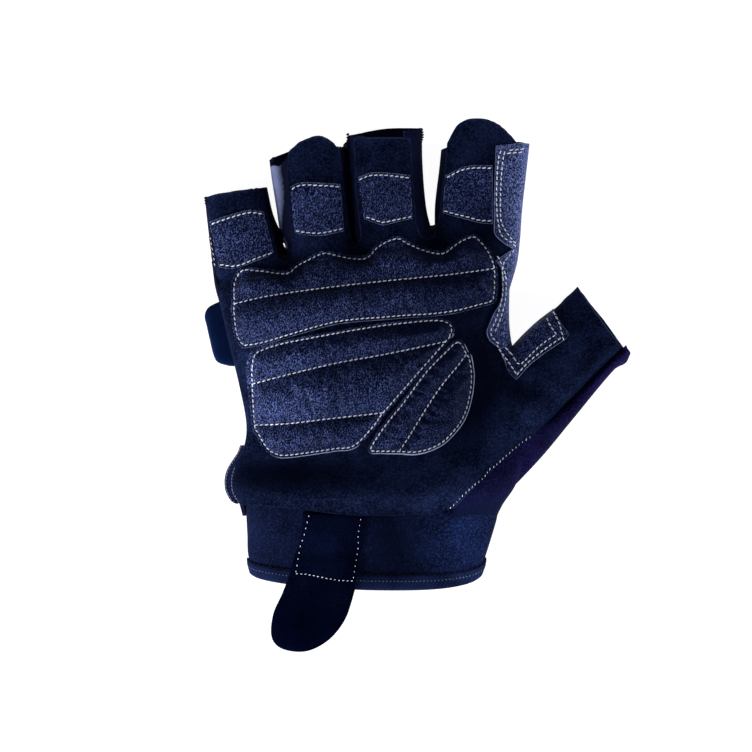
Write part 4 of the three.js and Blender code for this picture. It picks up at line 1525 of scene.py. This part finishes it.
@dataclass
class Sewing:
    """Runs of stitches, made from one modelled stitch."""

    wardrobe: Wardrobe
    length: float = 1.25
    pause: float = 0.55
    thread: float = 0.205
    slant: float = 0.14
    flatness: float = 0.85

    def __post_init__(self) -> None:
        """Models one stitch: a short thread with rounded, sunken ends."""
        bpy.ops.object.select_all(action="DESELECT")
        bpy.ops.mesh.primitive_uv_sphere_add(segments=7, ring_count=6, radius=1.0)
        stitch = bpy.context.object
        self.shape = coords_of(stitch.data)
        self.shape[:, 2] = np.sign(self.shape[:, 2]) * np.abs(self.shape[:, 2]) ** 0.7
        self.faces = [tuple(face.vertices) for face in stitch.data.polygons]
        bpy.data.objects.remove(stitch)

    def steps(self, lines: Sequence[Points], length: float, pause: float) -> tuple[Points, Points]:
        """Divides lines into stitches.

        Args:
            lines: The lines' points.
            length: A stitch's length.
            pause: The pause between two.

        Returns:
            Where each stitch starts and ends.
        """
        starts, ends = [], []
        for line in lines:
            whole = lengths_along(line)[-1] + pause
            count = max(1, int(whole / (length + pause)))
            pitch = whole / count
            begins = np.arange(count) * pitch
            starts.append(points_at(line, begins))
            ends.append(points_at(line, begins + pitch - pause))
        return np.vstack(starts), np.vstack(ends)

    def thread_up(self, name: str, ends: tuple[Points, Points], thickness: float, arch: float = 0.12,
                  finish: str = "thread") -> None:
        """Lays one stitch between each pair of points, and dresses them as one piece.

        Args:
            name: The piece's name.
            ends: Where the stitches start and where they end, in three dimensions.
            thickness: The thread's radius.
            arch: How far a stitch's middle rises.
            finish: The thread's finish.
        """
        verts, faces = [], []
        size = len(self.shape)
        place = self.shape[:, 2:3]
        for number, (low, top) in enumerate(zip(*ends)):
            run = top - low
            span = float(np.linalg.norm(run))
            ahead = run / max(span, SAME_POINT)
            side = np.cross(np.array([0.02, 0.01, 1.0]), ahead)
            side /= max(float(np.linalg.norm(side)), SAME_POINT)
            up = np.cross(ahead, side)
            tilt = side * self.slant * span * place / 2
            placed = (low + top) / 2 + place * ahead * span / 2 + tilt
            placed = placed + self.shape[:, 0:1] * side * thickness
            rise = self.shape[:, 1:2] * thickness * self.flatness + arch * (1 - place**2)
            verts.append(placed + rise * up)
            faces += [tuple(number * size + index for index in face) for face in self.faces]
        piece = make_object(name, np.vstack(verts), faces)
        smooth_shade(piece, 80)
        self.wardrobe.dress(piece, finish)

    def sew(self, name: str, lines: Sequence[Points], ground: Ground, lift: float,
            length: float = 0.0, pause: float = 0.0, thickness: float = 0.0) -> None:
        """Sews along lines on a surface.

        Args:
            name: The piece's name.
            lines: Where the stitches run, seen from above.
            ground: The surface.
            lift: How far the thread lies off it.
            length: A stitch's length, where it differs.
            pause: The pause between two, where it differs.
            thickness: The thread's radius, where it differs.
        """
        starts, ends = self.steps(lines, length or self.length, pause or self.pause)
        laid = ground.place(starts, lift), ground.place(ends, lift)
        self.thread_up(name, laid, thickness or self.thread)


# Sub-assemblies


@dataclass
class Workshop:
    """What every sub-assembly is made with."""

    hand: Hand
    cutter: Cutter
    sewing: Sewing
    wardrobe: Wardrobe

    def finish_sheet(self, piece: Piece, node: str, finish: str, size: tuple[float, float], held: str,
                     rests_on: Sequence[str] = ()) -> None:
        """Dresses a piece of cloth and hides the model's part that it stands for.

        Args:
            piece: The piece, with its thickness.
            node: The node that it stands for.
            finish: Its finish's name.
            size: Width and length of the rectangle it was cut from, in millimetres. Not used.
            held: How it lies. Not used.
            rests_on: What it lies on. Not used.
        """
        self.wardrobe.dress(piece, finish)
        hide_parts(node)


@dataclass
class Shell(Workshop):
    """The sewn hand: palm panel, fourchettes, thumb's side and back."""

    grid: float = 1.15
    clear: float = 0.35
    wall: float = 1.2
    ridge: float = 0.45
    ridge_width: float = 0.55
    unseamed: float = 9.0
    thumb_seam_reach: float = 1.5
    relief_reach: float = 6.0
    groove_width: float = 0.9
    roll_share: float = 0.5
    roll_place: float = 3.4
    roll_width: float = 2.2
    # The painted highlight along the outer edge of the strip beside the ring finger.
    highlight_width: float = 5.0
    highlight_least: float = 0.25
    highlight_from: float = 52.0
    highlight_run: float = 18.0
    bar_pitch: float = 0.95
    bar_length: float = 1.1
    bar_slant: float = 0.2
    low: tuple[float, float] = (-76.0, -48.0)
    high: tuple[float, float] = (80.0, 96.0)

    def folds(self, points: Points) -> np.ndarray:
        """Returns the cloth's soft unevenness over points."""
        return 0.5 * ripple(points, size=17, seed=3.1) + 0.2 * ripple(points, size=6, seed=8.7)

    def seam_relief(self, points: Points) -> np.ndarray:
        """Works out the groove of the thumb's seam between the rolls on its two sides.

        Args:
            points: Rows of x and y.

        Returns:
            How far the cloth rises there.
        """
        away = distance_to(line_array(THUMB_SEAM), points)
        deep = 0.6 + 2.2 * ease((points[:, 0] - 34) / 22)
        roll = self.roll_share * bell(away - self.roll_place, self.roll_width)
        return deep * (roll - bell(away, self.groove_width))

    def surface(self, points: Points) -> np.ndarray:
        """Returns the height of the palm side with its folds."""
        relief = self.folds(points) + self.seam_relief(points)
        return self.hand.top(points) + relief * ease(self.hand.mix(points)[1] / self.relief_reach)

    def back_inside(self, points: Points) -> np.ndarray:
        """Returns the height of the back panel's inner face over points."""
        return self.hand.bottom(points) + self.wall

    def mesh(self, regions: Sequence[Points]) -> tuple[Points, np.ndarray]:
        """Covers the glove with triangles that follow its limbs and its panels.

        Args:
            regions: The panels' outlines.

        Returns:
            The points seen from above, and the triangles inside some panel.
        """
        spots = self.hand.spots(np.array(self.low), np.array(self.high), self.grid)
        spots = spots[nearest(regions, spots, closed=True) > self.clear]

        def wanted(centres: Points) -> np.ndarray:
            """Returns a mask of the triangles that some panel takes."""
            taken = np.any([inside(region, centres) for region in regions], axis=0)
            return taken & self.hand.covers(centres)

        return triangulate([*self.hand.outlines, *regions], [], spots, wanted)

    def build_top(self) -> dict[str, Piece]:
        """Builds every panel that shows from the palm side.

        Returns:
            The panels by name.
        """
        front = closed_outline(HAND_FRONT)
        regions = {"palm_panel": front, "side_panel": closed_outline(THUMB_SIDE)}
        regions |= {name: filled(line_array(line), 1.2) for name, line in FOURCHETTES.items()}
        points, faces = self.mesh(list(regions.values()))
        faces = face_up(faces, points)
        seam = np.minimum(distance_to(front, points, closed=True), self.unseamed)
        at_thumb = distance_to(line_array(THUMB_SEAM), points) < self.thumb_seam_reach
        seam += self.unseamed * at_thumb
        ridge = self.ridge * bell(seam, self.ridge_width) * ease(self.hand.mix(points)[1] / 4)
        verts = self.hand.settle(points, self.surface(points) + ridge)
        centres = points[faces].mean(axis=1)
        free = np.ones(len(faces), dtype=bool)
        panels = {}
        for name, region in regions.items():
            mine = inside(region, centres) & free
            free &= ~mine
            panels[name] = self.panel(name, verts, faces[mine])
        return panels

    def build_back(self) -> Piece:
        """Builds the back of the hand, which the glove lies on.

        Returns:
            The back panel.
        """
        points, faces = self.mesh([closed_outline(HAND_BACK)])
        verts = self.hand.settle(points, self.hand.bottom(points))
        return self.panel("back_panel", verts, face_up(faces, points, up=False))

    def panel(self, name: str, verts: Points, faces: np.ndarray) -> Piece:
        """Cuts one panel out and gives it its thickness.

        Args:
            name: The panel's node.
            verts: The points that the panels share.
            faces: The panel's triangles.

        Returns:
            The panel.
        """
        used, renumbered = np.unique(faces, return_inverse=True)
        renumbered = renumbered.reshape(faces.shape)
        piece = make_object(name + "_cloth", verts[used], renumbered)
        marks = np.isin(np.arange(len(used)), boundary_edges(renumbered))
        # The strip beside the ring finger gets a painted highlight in place of its cut edge.
        if name == "fourchette_little_ring":
            marks = self.painted_rim_highlight(verts[used][:, :2])
        write_attribute(piece, "edge", marks)
        apply_modifier(piece, "SOLIDIFY", thickness=self.wall * MM, offset=-1, use_even_offset=False)
        smooth_shade(piece)
        return piece

    def painted_rim_highlight(self, points: Points) -> np.ndarray:
        """Works out the painted highlight on the strip beside the ring finger: at its outer edge, less to
        the palm.

        Args:
            points: Rows of x and y.

        Returns:
            How pale each point is.
        """
        up = ease((points[:, 1] - self.highlight_from) / self.highlight_run)
        wide = self.highlight_width * (self.highlight_least + (1 - self.highlight_least) * up)
        near = np.maximum(1.12 - 0.5 * self.hand.rim_distance(points) / wide, 0)
        hidden = inside(self.hand.limbs["little"].outline(), points)
        return np.where((points[:, 0] > RING_ROWS[-1].left_x + 1.1) & ~hidden, near, 0)

    def overlock(self) -> None:
        """Sews the dark looped edge seams along the fingers' sides."""
        lows, tops = [], []
        seams = [(line, self.surface) for line in OVERLOCK_LINES] + [(BACK_OVERLOCK_LINE, self.back_inside)]
        for line, height in seams:
            track = smooth_line(line, self.bar_pitch)
            along = unit(np.gradient(track, axis=0))
            out = np.column_stack([along[:, 1], -along[:, 0]])
            out[self.hand.covers(track + out)] *= -1
            inner = track - out * self.bar_length + along * self.bar_slant
            lows.append(np.column_stack([track - out * 0.12, height(track) + 0.4]))
            tops.append(np.column_stack([inner, height(inner) + 0.1]))
        ends = (np.vstack(lows), np.vstack(tops))
        self.sewing.thread_up("overlock_seams", ends, thickness=0.42, arch=0.1, finish="dark_thread")

    def sew_thumb_seam(self) -> None:
        """Sews the short slanted stitches along the thumb's seam."""
        ground = Ground(self.surface)
        track = smooth_line(THUMB_SEAM_STITCHES, 1.5)
        track[:, 0] += 0.3 * ripple(track, size=1.9, seed=7.2)
        slant = (0.75 + 0.7 * ripple(track, size=1.3, seed=4.4))[:, None] * np.array([0.14, 0.42])
        ends = tuple(ground.place(track + way * slant, lift=0.3) for way in (-1, 1))
        self.sewing.thread_up("thumb_seam_stitches", ends, thickness=0.1)

    def sew_little_edge(self) -> None:
        """Sews the few pale stitches that show on the little finger's outer edge."""
        ends = self.sewing.steps([smooth_line(LITTLE_EDGE, 0.5)], length=0.7, pause=1.0)
        laid = tuple(np.column_stack([spots, self.surface(spots) + 0.85]) for spots in ends)
        self.sewing.thread_up("little_edge_stitches", laid, thickness=0.16)

    def build(self) -> None:
        """Builds and dresses the whole shell."""
        panels = self.build_top()
        panels["back_panel"] = self.build_back()
        for name, (finish, width, length, held) in PANEL_CLOTHS.items():
            self.finish_sheet(panels[name], name, finish, (width, length), held)
        self.overlock()
        self.sew_thumb_seam()
        self.sew_little_edge()


@dataclass
class Pads(Workshop):
    """The three padded leather pieces with their sewn channels."""

    line_step: float = 0.9
    margin: float = 0.95
    seam_height: float = 0.9
    thread_lift: float = 0.2
    flange: float = 0.45
    swell: float = 3.0
    shoulder: float = 6.0
    uneven_from: float = 3.0
    sewn_reach: float = 0.2
    start_share: float = 0.35
    sim_scale: float = 20.0
    frames: int = 20
    pressure: float = 6.0
    spare: float = 0.1
    cap: float = 4.2
    # Painted shade beside the stitch lines: how dark it goes, and how far it reaches.
    seam_shade: float = 0.65
    seam_shade_reach: float = 4.0

    def around(self, spec: PadSpec) -> Points:
        """Joins the ends of a pad's stitch lines.

        Args:
            spec: The pad's stitch lines.

        Returns:
            Its closed outer stitch line.
        """
        starts = [line[0] for line in spec.lines[1:-1]]
        ends = [line[-1] for line in spec.lines[1:-1]]
        loop = [*spec.lines[0], *ends, *reversed(spec.lines[-1]), *reversed(starts)]
        return smooth_line(loop, self.line_step, closed=True)

    def puff(self, cloth: Cloth, from_seam: np.ndarray, stuffed: np.ndarray) -> np.ndarray:
        """Works out how far the stuffed cells stand off their stitch lines.

        Args:
            cloth: The pad's surface.
            from_seam: How far each point lies from the nearest stitch line.
            stuffed: Which points lie in a cell.

        Returns:
            The height at each point.
        """
        share = np.clip(from_seam / self.shoulder, 0, 1)
        uneven = 0.4 * ripple(cloth.cut, size=9, seed=1.7) + 0.25 * ripple(cloth.cut, size=4, seed=5.3)
        height = self.swell * (1 - (1 - share) ** 2) ** 0.8
        sewn = ~stuffed | (from_seam < self.sewn_reach)
        height = self.inflate(cloth, sewn, self.start_share * height)
        return height + uneven * ease(from_seam / self.uneven_from)

    def build(self, spec: PadSpec) -> None:
        """Builds a pad and its stitches.

        Args:
            spec: The pad's stitch lines.
        """
        around = self.around(spec)
        seams = [looped(around)] + [smooth_line(line, self.line_step) for line in spec.lines[1:-1]]
        edge = grown(around, self.margin + blob_sum(spec.wide, around))
        cloth = self.cutter.flat(edge, seams, self.hand.ground, lift=self.seam_height)
        from_seam = nearest(seams, cloth.cut)
        stuffed = inside(around, cloth.cut)
        rise = np.where(stuffed, self.puff(cloth, from_seam, stuffed), self.flange * ease(from_seam / 0.5))
        pad = self.cutter.thicken(spec.node + "_leather", cloth, 0.1, self.seam_height + rise)
        self.mark_edge(spec, pad, edge, cloth.cut)
        to_fingers = np.array([vertex.normal.y for vertex in pad.data.vertices[:len(cloth.cut)]])
        # Painted shade: each cell is darker next to its stitch lines on the flank that turns to the fingers,
        # away from the lights.
        painted_seam_shade = self.seam_shade * bell(from_seam, self.seam_shade_reach) * ease(to_fingers / 0.3)
        self.wardrobe.dress(pad, "leather", np.tile(np.where(stuffed, painted_seam_shade, 0), 2))
        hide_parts(spec.node)
        lift = self.seam_height + self.thread_lift
        self.sewing.sew(spec.node + "_stitches", seams, self.hand.ground, lift)

    def mark_edge(self, spec: PadSpec, pad: Piece, edge: Points, points: Points) -> None:
        """Marks the cut edge, painted paler as a highlight where it turns to the wrist or the thumb, towards
        the lights.

        Args:
            spec: Where the edge is painted pale as a highlight.
            pad: The pad.
            edge: Its cut edge.
            points: Its points seen from above.
        """
        inward = grown(edge, -1.0) - edge
        closest = np.array([np.argmin(np.sum((edge - point) ** 2, axis=1)) for point in points])
        facing = -inward[closest] @ spec.highlight_side
        near = np.clip(1.5 - distance_to(edge, points, closed=True) / 0.3, 0, 1)
        marks = near * (0.6 + 0.6 * spec.pale * ease((facing - spec.highlight_from) / 0.2))
        write_attribute(pad, "edge", np.tile(marks, 2))

    def inflate(self, cloth: Cloth, held: np.ndarray, start: np.ndarray) -> np.ndarray:
        """Blows the leather up between its stitch lines with a cloth simulation.

        Args:
            cloth: The pad's surface.
            held: Which points the stitches hold.
            start: How far each point stands off at the start.

        Returns:
            How far each point has risen, square to the surface.
        """
        lift = cloth.verts + cloth.normals * np.maximum(start, 0)[:, None]
        skin = make_object("pad_skin", lift * self.sim_scale, cloth.faces.tolist())
        group = skin.vertex_groups.new(name="stitches")
        group.add(np.flatnonzero(held).tolist(), 1.0, "REPLACE")
        modifier = skin.modifiers.new("Cloth", "CLOTH")
        settings = modifier.settings
        configure(settings, quality=6, mass=0.3, tension_stiffness=12, compression_stiffness=12,
                  shear_stiffness=4, bending_stiffness=0.4, shrink_min=-self.spare,
                  vertex_group_mass="stitches", use_pressure=True, uniform_pressure_force=self.pressure)
        settings.effector_weights.gravity = 0
        modifier.collision_settings.use_collision = False
        modifier.point_cache.frame_start, modifier.point_cache.frame_end = 1, self.frames
        scene = bpy.context.scene
        for frame_number in range(1, self.frames + 1):
            scene.frame_set(frame_number)
        blown = skin.evaluated_get(bpy.context.evaluated_depsgraph_get())
        ends = coords_of(blown.data) / MM / self.sim_scale
        bpy.data.objects.remove(skin)
        scene.frame_set(1)
        rise = np.sum((ends - cloth.verts) * cloth.normals, axis=1)
        log.info("pad skin rises up to %.1f mm, %.1f on average", rise.max(), rise[~held].mean())
        return np.clip(rise, 0, self.cap)


@dataclass
class Patches(Workshop):
    """The flat leather patches of the fingers and of the thumb's crook."""

    line_step: float = 0.9
    thickness: float = 1.15
    valley: float = 0.3
    valley_width: float = 0.5
    thread_lift: float = 0.12
    thins_over: float = 3.0
    turned_in: float = 1.0

    def build(self, spec: PatchSpec) -> None:
        """Builds a patch and its stitches.

        Args:
            spec: The patch.
        """
        edge = closed_outline(spec.edge, self.line_step)
        lines = [smooth_line(line, self.line_step) for line in spec.stitches]
        if spec.under:
            cloth = self.cutter.wrapped(edge, spec.under)
        else:
            cloth = self.cutter.flat(edge, lines, self.hand.ground, lift=self.thickness)
        groove = self.valley * bell(nearest(lines, cloth.cut), self.valley_width)
        outer = self.thickness - groove + 0.12 * ripple(cloth.cut, size=5, seed=2.2)
        if spec.under:
            outer *= 0.3 + 0.7 * ease(self.hand.rim_distance(cloth.cut) / self.thins_over)
        patch = self.cutter.thicken(spec.node + "_leather", cloth, 0.1, outer)
        size = edge.max(axis=0) - edge.min(axis=0) + 2 * self.turned_in + 2.5 * spec.under
        self.finish_sheet(patch, spec.node, spec.finish, size, "stretched", ["palm_panel_cloth"])
        lift = self.thickness - self.valley + self.thread_lift
        self.sewing.sew(spec.node + "_stitches", lines, self.hand.ground, lift)


@dataclass
class Cuff(Workshop):
    """The neoprene cuff, its knitted binding and the pull tab."""

    around: int = 220
    rows: int = 44
    sag: float = 6.3
    lean: tuple[float, float] = (0.33, 0.16)
    bow_power: float = 2.8
    span: float = 22.7
    wall: float = 1.8
    flat_from: float = -62.0
    flat_to: float = -42.0
    cord_at: tuple[float, float] = (4.0, 0.35)
    stitches_at: tuple[float, float] = (2.3, 0.95)
    tab_thickness: float = 1.6
    tab_clear: float = 0.15
    tab_climbs: tuple[float, float, float] = (-58.5, 5.5, 1.3)
    tab_droops: tuple[float, float, float] = (-73.4, 19.6, 8.5)
    tab_level_from: float = -64.5

    def __post_init__(self) -> None:
        """Sets up the cuff's limb and its surface."""
        self.limb = Limb(CUFF_ROWS, fades_in=0)
        self.ground = Ground(self.top)

    def ring(self, along: np.ndarray, grow: np.ndarray) -> Points:
        """Lays closed rings round the wrist.

        Args:
            along: Place of each ring along the cuff, from 0 at its open edge.
            grow: How far each ring lies off the cuff's outer face.

        Returns:
            Points by ring and by place round it.
        """
        angle = np.linspace(0, 2 * np.pi, self.around, endpoint=False)
        table = catmull_rom(np.array(CUFF_ROWS), along)
        rings = []
        for place, off, (*ends, low, high, square) in zip(along, grow, table):
            left, right = np.array(ends).reshape(2, 2)
            u, v = (np.sign(wave) * np.abs(wave) ** (2 / square) for wave in (np.cos(angle), np.sin(angle)))
            width = np.linalg.norm(right - left)
            spot = (left + right) / 2 + (u * (width / 2 + off))[:, None] * ((right - left) / width)
            bow = (1 - np.abs(u) ** self.bow_power) ** (1 / self.bow_power)
            bow *= 1 + np.where(u < 0, *self.lean) * u
            spot[:, 1] -= self.sag * bow * (1 - ease(place / 0.9))
            rings.append(np.column_stack([spot, (low + high) / 2 + v * ((high - low) / 2 + off)]))
        return np.array(rings)

    def loft(self, name: str, rings: Points, closed: bool) -> Piece:
        """Joins rings into a tube.

        Args:
            name: The piece's name.
            rings: Points by ring and by place round it.
            closed: Whether the last ring joins the first.

        Returns:
            The tube.
        """
        count, size = rings.shape[:2]
        faces = []
        for row in range(count if closed else count - 1):
            below, above = row * size, ((row + 1) % count) * size
            for k in range(size):
                after = (k + 1) % size
                faces.append((below + k, below + after, above + after, above + k))
        piece = make_object(name, rings.reshape(-1, 3), faces)
        select_only(piece)
        bpy.ops.object.mode_set(mode="EDIT")
        bpy.ops.mesh.select_all(action="SELECT")
        bpy.ops.mesh.normals_make_consistent(inside=False)
        bpy.ops.object.mode_set(mode="OBJECT")
        return piece

    def top(self, points: Points) -> np.ndarray:
        """Works out the cuff's palm side, which goes on level past its ends.

        Args:
            points: Rows of x and y.

        Returns:
            Its height.
        """
        held = np.column_stack([points[:, 0], np.clip(points[:, 1], self.flat_from, self.flat_to)])
        share, levels, _ = self.limb.shape(held)
        low, high = levels[:, 0], levels[:, 1]
        return (low + high) / 2 + (high - low) / 2 * share + self.waves(held)

    def waves(self, points: Points) -> np.ndarray:
        """Returns the cuff's soft unevenness."""
        return 0.35 * ripple(points * np.array([1.0, 0.45]), size=13, seed=6.6)

    def build_band(self) -> None:
        """Builds the neoprene band."""
        rings = self.ring(np.linspace(0, 1, self.rows), np.zeros(self.rows))
        flat = rings.reshape(-1, 3)
        away = flat - np.array([0, 0, 14.0])
        away[:, :2] *= 0.3
        flat += unit(away) * self.waves(flat[:, :2])[:, None] * np.sign(flat[:, 2:3] - 10).clip(0, 1)
        band = self.loft("cuff_neoprene", rings, closed=False)
        apply_modifier(band, "SOLIDIFY", thickness=self.wall * MM, offset=-1)
        smooth_shade(band)
        self.finish_sheet(band, "cuff_band", "neoprene", (215, 34), "stretched", ["cuff_hem_binding"])

    def build_hem(self) -> None:
        """Builds the knitted binding, folded round the cuff's open edge."""
        profile = resample(line_array(HEM_PROFILE), 0.45, closed=True)
        rings = self.ring(profile[:, 0].clip(0, None) / self.span, profile[:, 1])
        rings[:, :, 1] += np.minimum(profile[:, :1], 0)
        hem = self.loft("cuff_hem_binding", rings, closed=True)
        smooth_shade(hem)
        self.finish_sheet(hem, "cuff_hem", "binding", (215, 18), "folded", ["cuff_neoprene"])

    def build_hem_sewing(self) -> None:
        """Sews the binding, and lays its elastic cord along the upper edge."""
        along, off = np.array([self.cord_at, self.stitches_at]).T
        cord, row = self.ring(along / self.span, off)
        ends = self.sewing.steps([looped(cord)], length=2.2, pause=0.01)
        self.sewing.thread_up("hem_cord", ends, thickness=0.32, arch=0.02, finish="dark_thread")
        ends = self.sewing.steps([looped(row)], length=0.55, pause=0.75)
        self.sewing.thread_up("hem_stitches", ends, thickness=0.16, finish="dull_thread")

    def tab_height(self, points: Points) -> np.ndarray:
        """Works out the tab's underside: along the cuff, over its binding, and down to the free end.

        Args:
            points: Rows of x and y.

        Returns:
            Its height.
        """
        x, y = points.T
        onto = np.column_stack([x, np.maximum(y, self.tab_level_from)])
        start, run, climb = self.tab_climbs
        up = climb * ease((start - y) / run)
        start, run, droop = self.tab_droops
        past = np.maximum(start - y, 0) / run
        return self.top(onto) + self.tab_clear + up - droop * past**2

    def build_tab(self) -> None:
        """Builds the pull tab and the stitches that hold it."""
        edge = closed_outline(PULL_TAB, 0.9)
        ground = Ground(self.tab_height)
        lines = [smooth_line(line, 0.9) for line in TAB_STITCHES]
        cloth = self.cutter.flat(edge, lines, ground, grid=1.3)
        rounding = np.exp(-distance_to(edge, cloth.cut, closed=True) / 0.35)
        groove = bell(nearest(lines, cloth.cut), width=0.6)
        outer = self.tab_thickness - 0.7 * rounding - 0.3 * groove
        tab = self.cutter.thicken("pull_tab_microfibre", cloth, 0.0, outer)
        rests_on = ["cuff_neoprene", "cuff_hem_binding"]
        self.finish_sheet(tab, "pull_tab", "microfibre", (34, 52), "laid", rests_on)
        lift = self.tab_thickness - 0.1
        self.sewing.sew("tab_side_stitches", lines[:2], ground, lift, length=0.42, pause=1.6, thickness=0.15)
        self.sewing.sew("tab_end_stitches", lines[2:], ground, lift, length=0.62, pause=0.8, thickness=0.17)

    def build(self) -> None:
        """Builds the whole cuff."""
        self.build_band()
        self.build_hem()
        self.build_hem_sewing()
        self.build_tab()


@dataclass
class WristStrap(Workshop):
    """The strap at the wrist and the small tab behind the little finger's side."""

    top_level: float = 14.4
    corner: float = 8.0
    far_end: float = 6.0
    wall: float = 2.8
    tab_thickness: float = 1.7
    tab_clear: float = 0.05
    tab_from: float = -50.0
    tab_bend: float = -58.0
    steep: float = 0.24
    gentle: float = 0.15

    def build_strap(self) -> None:
        """Builds the strap: a bowed edge that turns under the hand."""
        bow = smooth_line(STRAP_BOW, 0.7)
        turn = np.linspace(0, np.pi / 2, 9)
        rows = []
        for x, y in bow:
            side = [(x, level) for level in np.linspace(self.top_level, self.corner, 6)[:-1]]
            side += [(x + self.corner * (1 - math.cos(a)), self.corner * (1 - math.sin(a))) for a in turn]
            side += [(along, 0.0) for along in np.linspace(x + self.corner, self.far_end, 30)[1:]]
            rows.append([(along, y, level) for along, level in side])
        grid = np.array(rows)
        count, size = grid.shape[:2]
        faces = [(r * size + k, r * size + k + 1, (r + 1) * size + k + 1, (r + 1) * size + k)
                 for r in range(count - 1) for k in range(size - 1)]
        strap = make_object("wrist_strap_knit", grid.reshape(-1, 3), faces)
        if strap.data.polygons[2].normal.x > 0:
            strap.data.flip_normals()
        apply_modifier(strap, "SOLIDIFY", thickness=self.wall * MM, offset=-1)
        apply_modifier(strap, "BEVEL", width=0.5 * MM, segments=3, limit_method="ANGLE")
        smooth_shade(strap)
        self.finish_sheet(strap, "wrist_strap", "strap_knit", (92, 21.5), "folded", ["back_panel_cloth"])
        self.build_piping(bow)

    def build_piping(self, bow: Points) -> None:
        """Lays the two fine pale cords along the strap's edge.

        Args:
            bow: The edge's line seen from above.
        """
        level = np.full(len(bow), self.top_level + 0.05)
        insets = (0.5, self.wall - 0.3)
        lines = [np.column_stack([bow[:, 0] + inset, bow[:, 1], level]) for inset in insets]
        ends = self.sewing.steps(lines, length=1.1, pause=0.12)
        self.sewing.thread_up("strap_piping", ends, thickness=0.22, arch=0.03, finish="piping")

    def tab_height(self, points: Points) -> np.ndarray:
        """Works out the small tab's height: up along the glove's underside, then flatter.

        Args:
            points: Rows of x and y.

        Returns:
            Its height.
        """
        near = np.clip(self.tab_from - points[:, 0], 0, self.tab_from - self.tab_bend)
        far = np.maximum(self.tab_bend - points[:, 0], 0)
        return self.tab_clear + self.steep * near + self.gentle * far

    def build_back_tab(self) -> None:
        """Builds the small smooth tab."""
        edge = closed_outline(BACK_TAB, 0.8)
        cloth = self.cutter.flat(edge, [], Ground(self.tab_height), grid=1.2)
        rounding = np.exp(-distance_to(edge, cloth.verts[:, :2], closed=True) / 0.5)
        tab = self.cutter.thicken("back_tab_cloth", cloth, 0.0, self.tab_thickness - 0.8 * rounding)
        self.finish_sheet(tab, "back_tab", "smooth_cloth", (28, 25), "laid", ["back_panel_cloth"])

    def build(self) -> None:
        """Builds the strap and the tab."""
        self.build_strap()
        self.build_back_tab()


# Surroundings


def make_floor() -> None:
    """Lays a plain pale floor under the glove, lit through as a light table is."""
    bpy.ops.object.select_all(action="DESELECT")
    bpy.ops.mesh.primitive_plane_add(size=6.0, location=(0, 0, -0.0003))
    floor = bpy.context.object
    floor.name = "floor"
    material, _, _ = new_material("floor", {
        "Base Color": (0.35, 0.35, 0.35, 1),
        "Roughness": 0.95,
        "Emission Color": (1, 1, 1, 1),
        "Emission Strength": 0.95,
    })
    floor.data.materials.append(material)


class Softbox(NamedTuple):
    """One soft light that faces the glove."""

    name: str
    place: tuple[float, float, float]
    size: tuple[float, float]
    power: float


SOFTBOXES = (
    Softbox("left_light", (-0.9, -0.45, 0.3), (0.4, 0.9), 16),
    Softbox("right_light", (0.98, -0.05, 0.16), (0.3, 0.9), 12),
    Softbox("near_light", (-0.3, -1.0, 0.35), (0.9, 0.4), 8),
    Softbox("far_light", (0.1, 1.0, 0.3), (0.9, 0.4), 1.0),
    Softbox("top_light", (0.0, 0.2, 1.7), (1.2, 1.2), 0.8),
)


@dataclass
class Studio:
    """Camera and lights of the photograph."""

    scale: float = 0.35
    frame_px: int = 752
    centre_px: tuple[float, float] = (415.5, 384.0)
    distance: float = 2.0
    focus_height: float = 0.014
    surround: float = 0.1

    def camera(self) -> None:
        """Looks straight down, so that a pixel is 0.35 mm on the glove."""
        data = bpy.data.cameras.new("camera")
        data.sensor_width = 36.0
        data.lens = 36.0 * (self.distance - self.focus_height) * 1000 / (self.scale * self.frame_px)
        data.clip_end = 20.0
        camera = bpy.data.objects.new("camera", data)
        half = self.frame_px / 2
        camera.location = (
            (half - self.centre_px[0]) * self.scale * MM,
            (self.centre_px[1] - half) * self.scale * MM,
            self.distance,
        )
        bpy.context.collection.objects.link(camera)
        bpy.context.scene.camera = camera

    def lights(self) -> None:
        """Hangs the softboxes and sets the pale surround."""
        for box in SOFTBOXES:
            data = bpy.data.lights.new(box.name, "AREA")
            data.shape = "RECTANGLE"
            data.size, data.size_y = box.size
            data.energy = box.power
            light = bpy.data.objects.new(box.name, data)
            light.location = box.place
            light.rotation_euler = (-Vector(box.place)).to_track_quat("-Z", "Y").to_euler()
            bpy.context.collection.objects.link(light)
        world = bpy.data.worlds.new("surround")
        world.use_nodes = True
        world.node_tree.nodes["Background"].inputs["Color"].default_value = (1, 1, 1, 1)
        world.node_tree.nodes["Background"].inputs["Strength"].default_value = self.surround
        bpy.context.scene.world = world
        bpy.context.scene.view_settings.view_transform = "Standard"


def main() -> None:
    """Builds and dresses the glove, and reports each piece."""
    logging.basicConfig(level=logging.INFO, format="%(message)s")
    hand = Hand()
    studio = Studio()
    studio.camera()
    studio.lights()
    make_floor()
    wardrobe = Wardrobe()
    tools = (hand, Cutter(hand), Sewing(wardrobe), wardrobe)
    Shell(*tools).build()
    for pad in (KNUCKLE_PAD, HEEL_PAD, THENAR_PAD):
        Pads(*tools).build(pad)
    for patch in PATCHES:
        Patches(*tools).build(patch)
    Cuff(*tools).build()
    WristStrap(*tools).build()


if __name__ == "__main__":
    main()
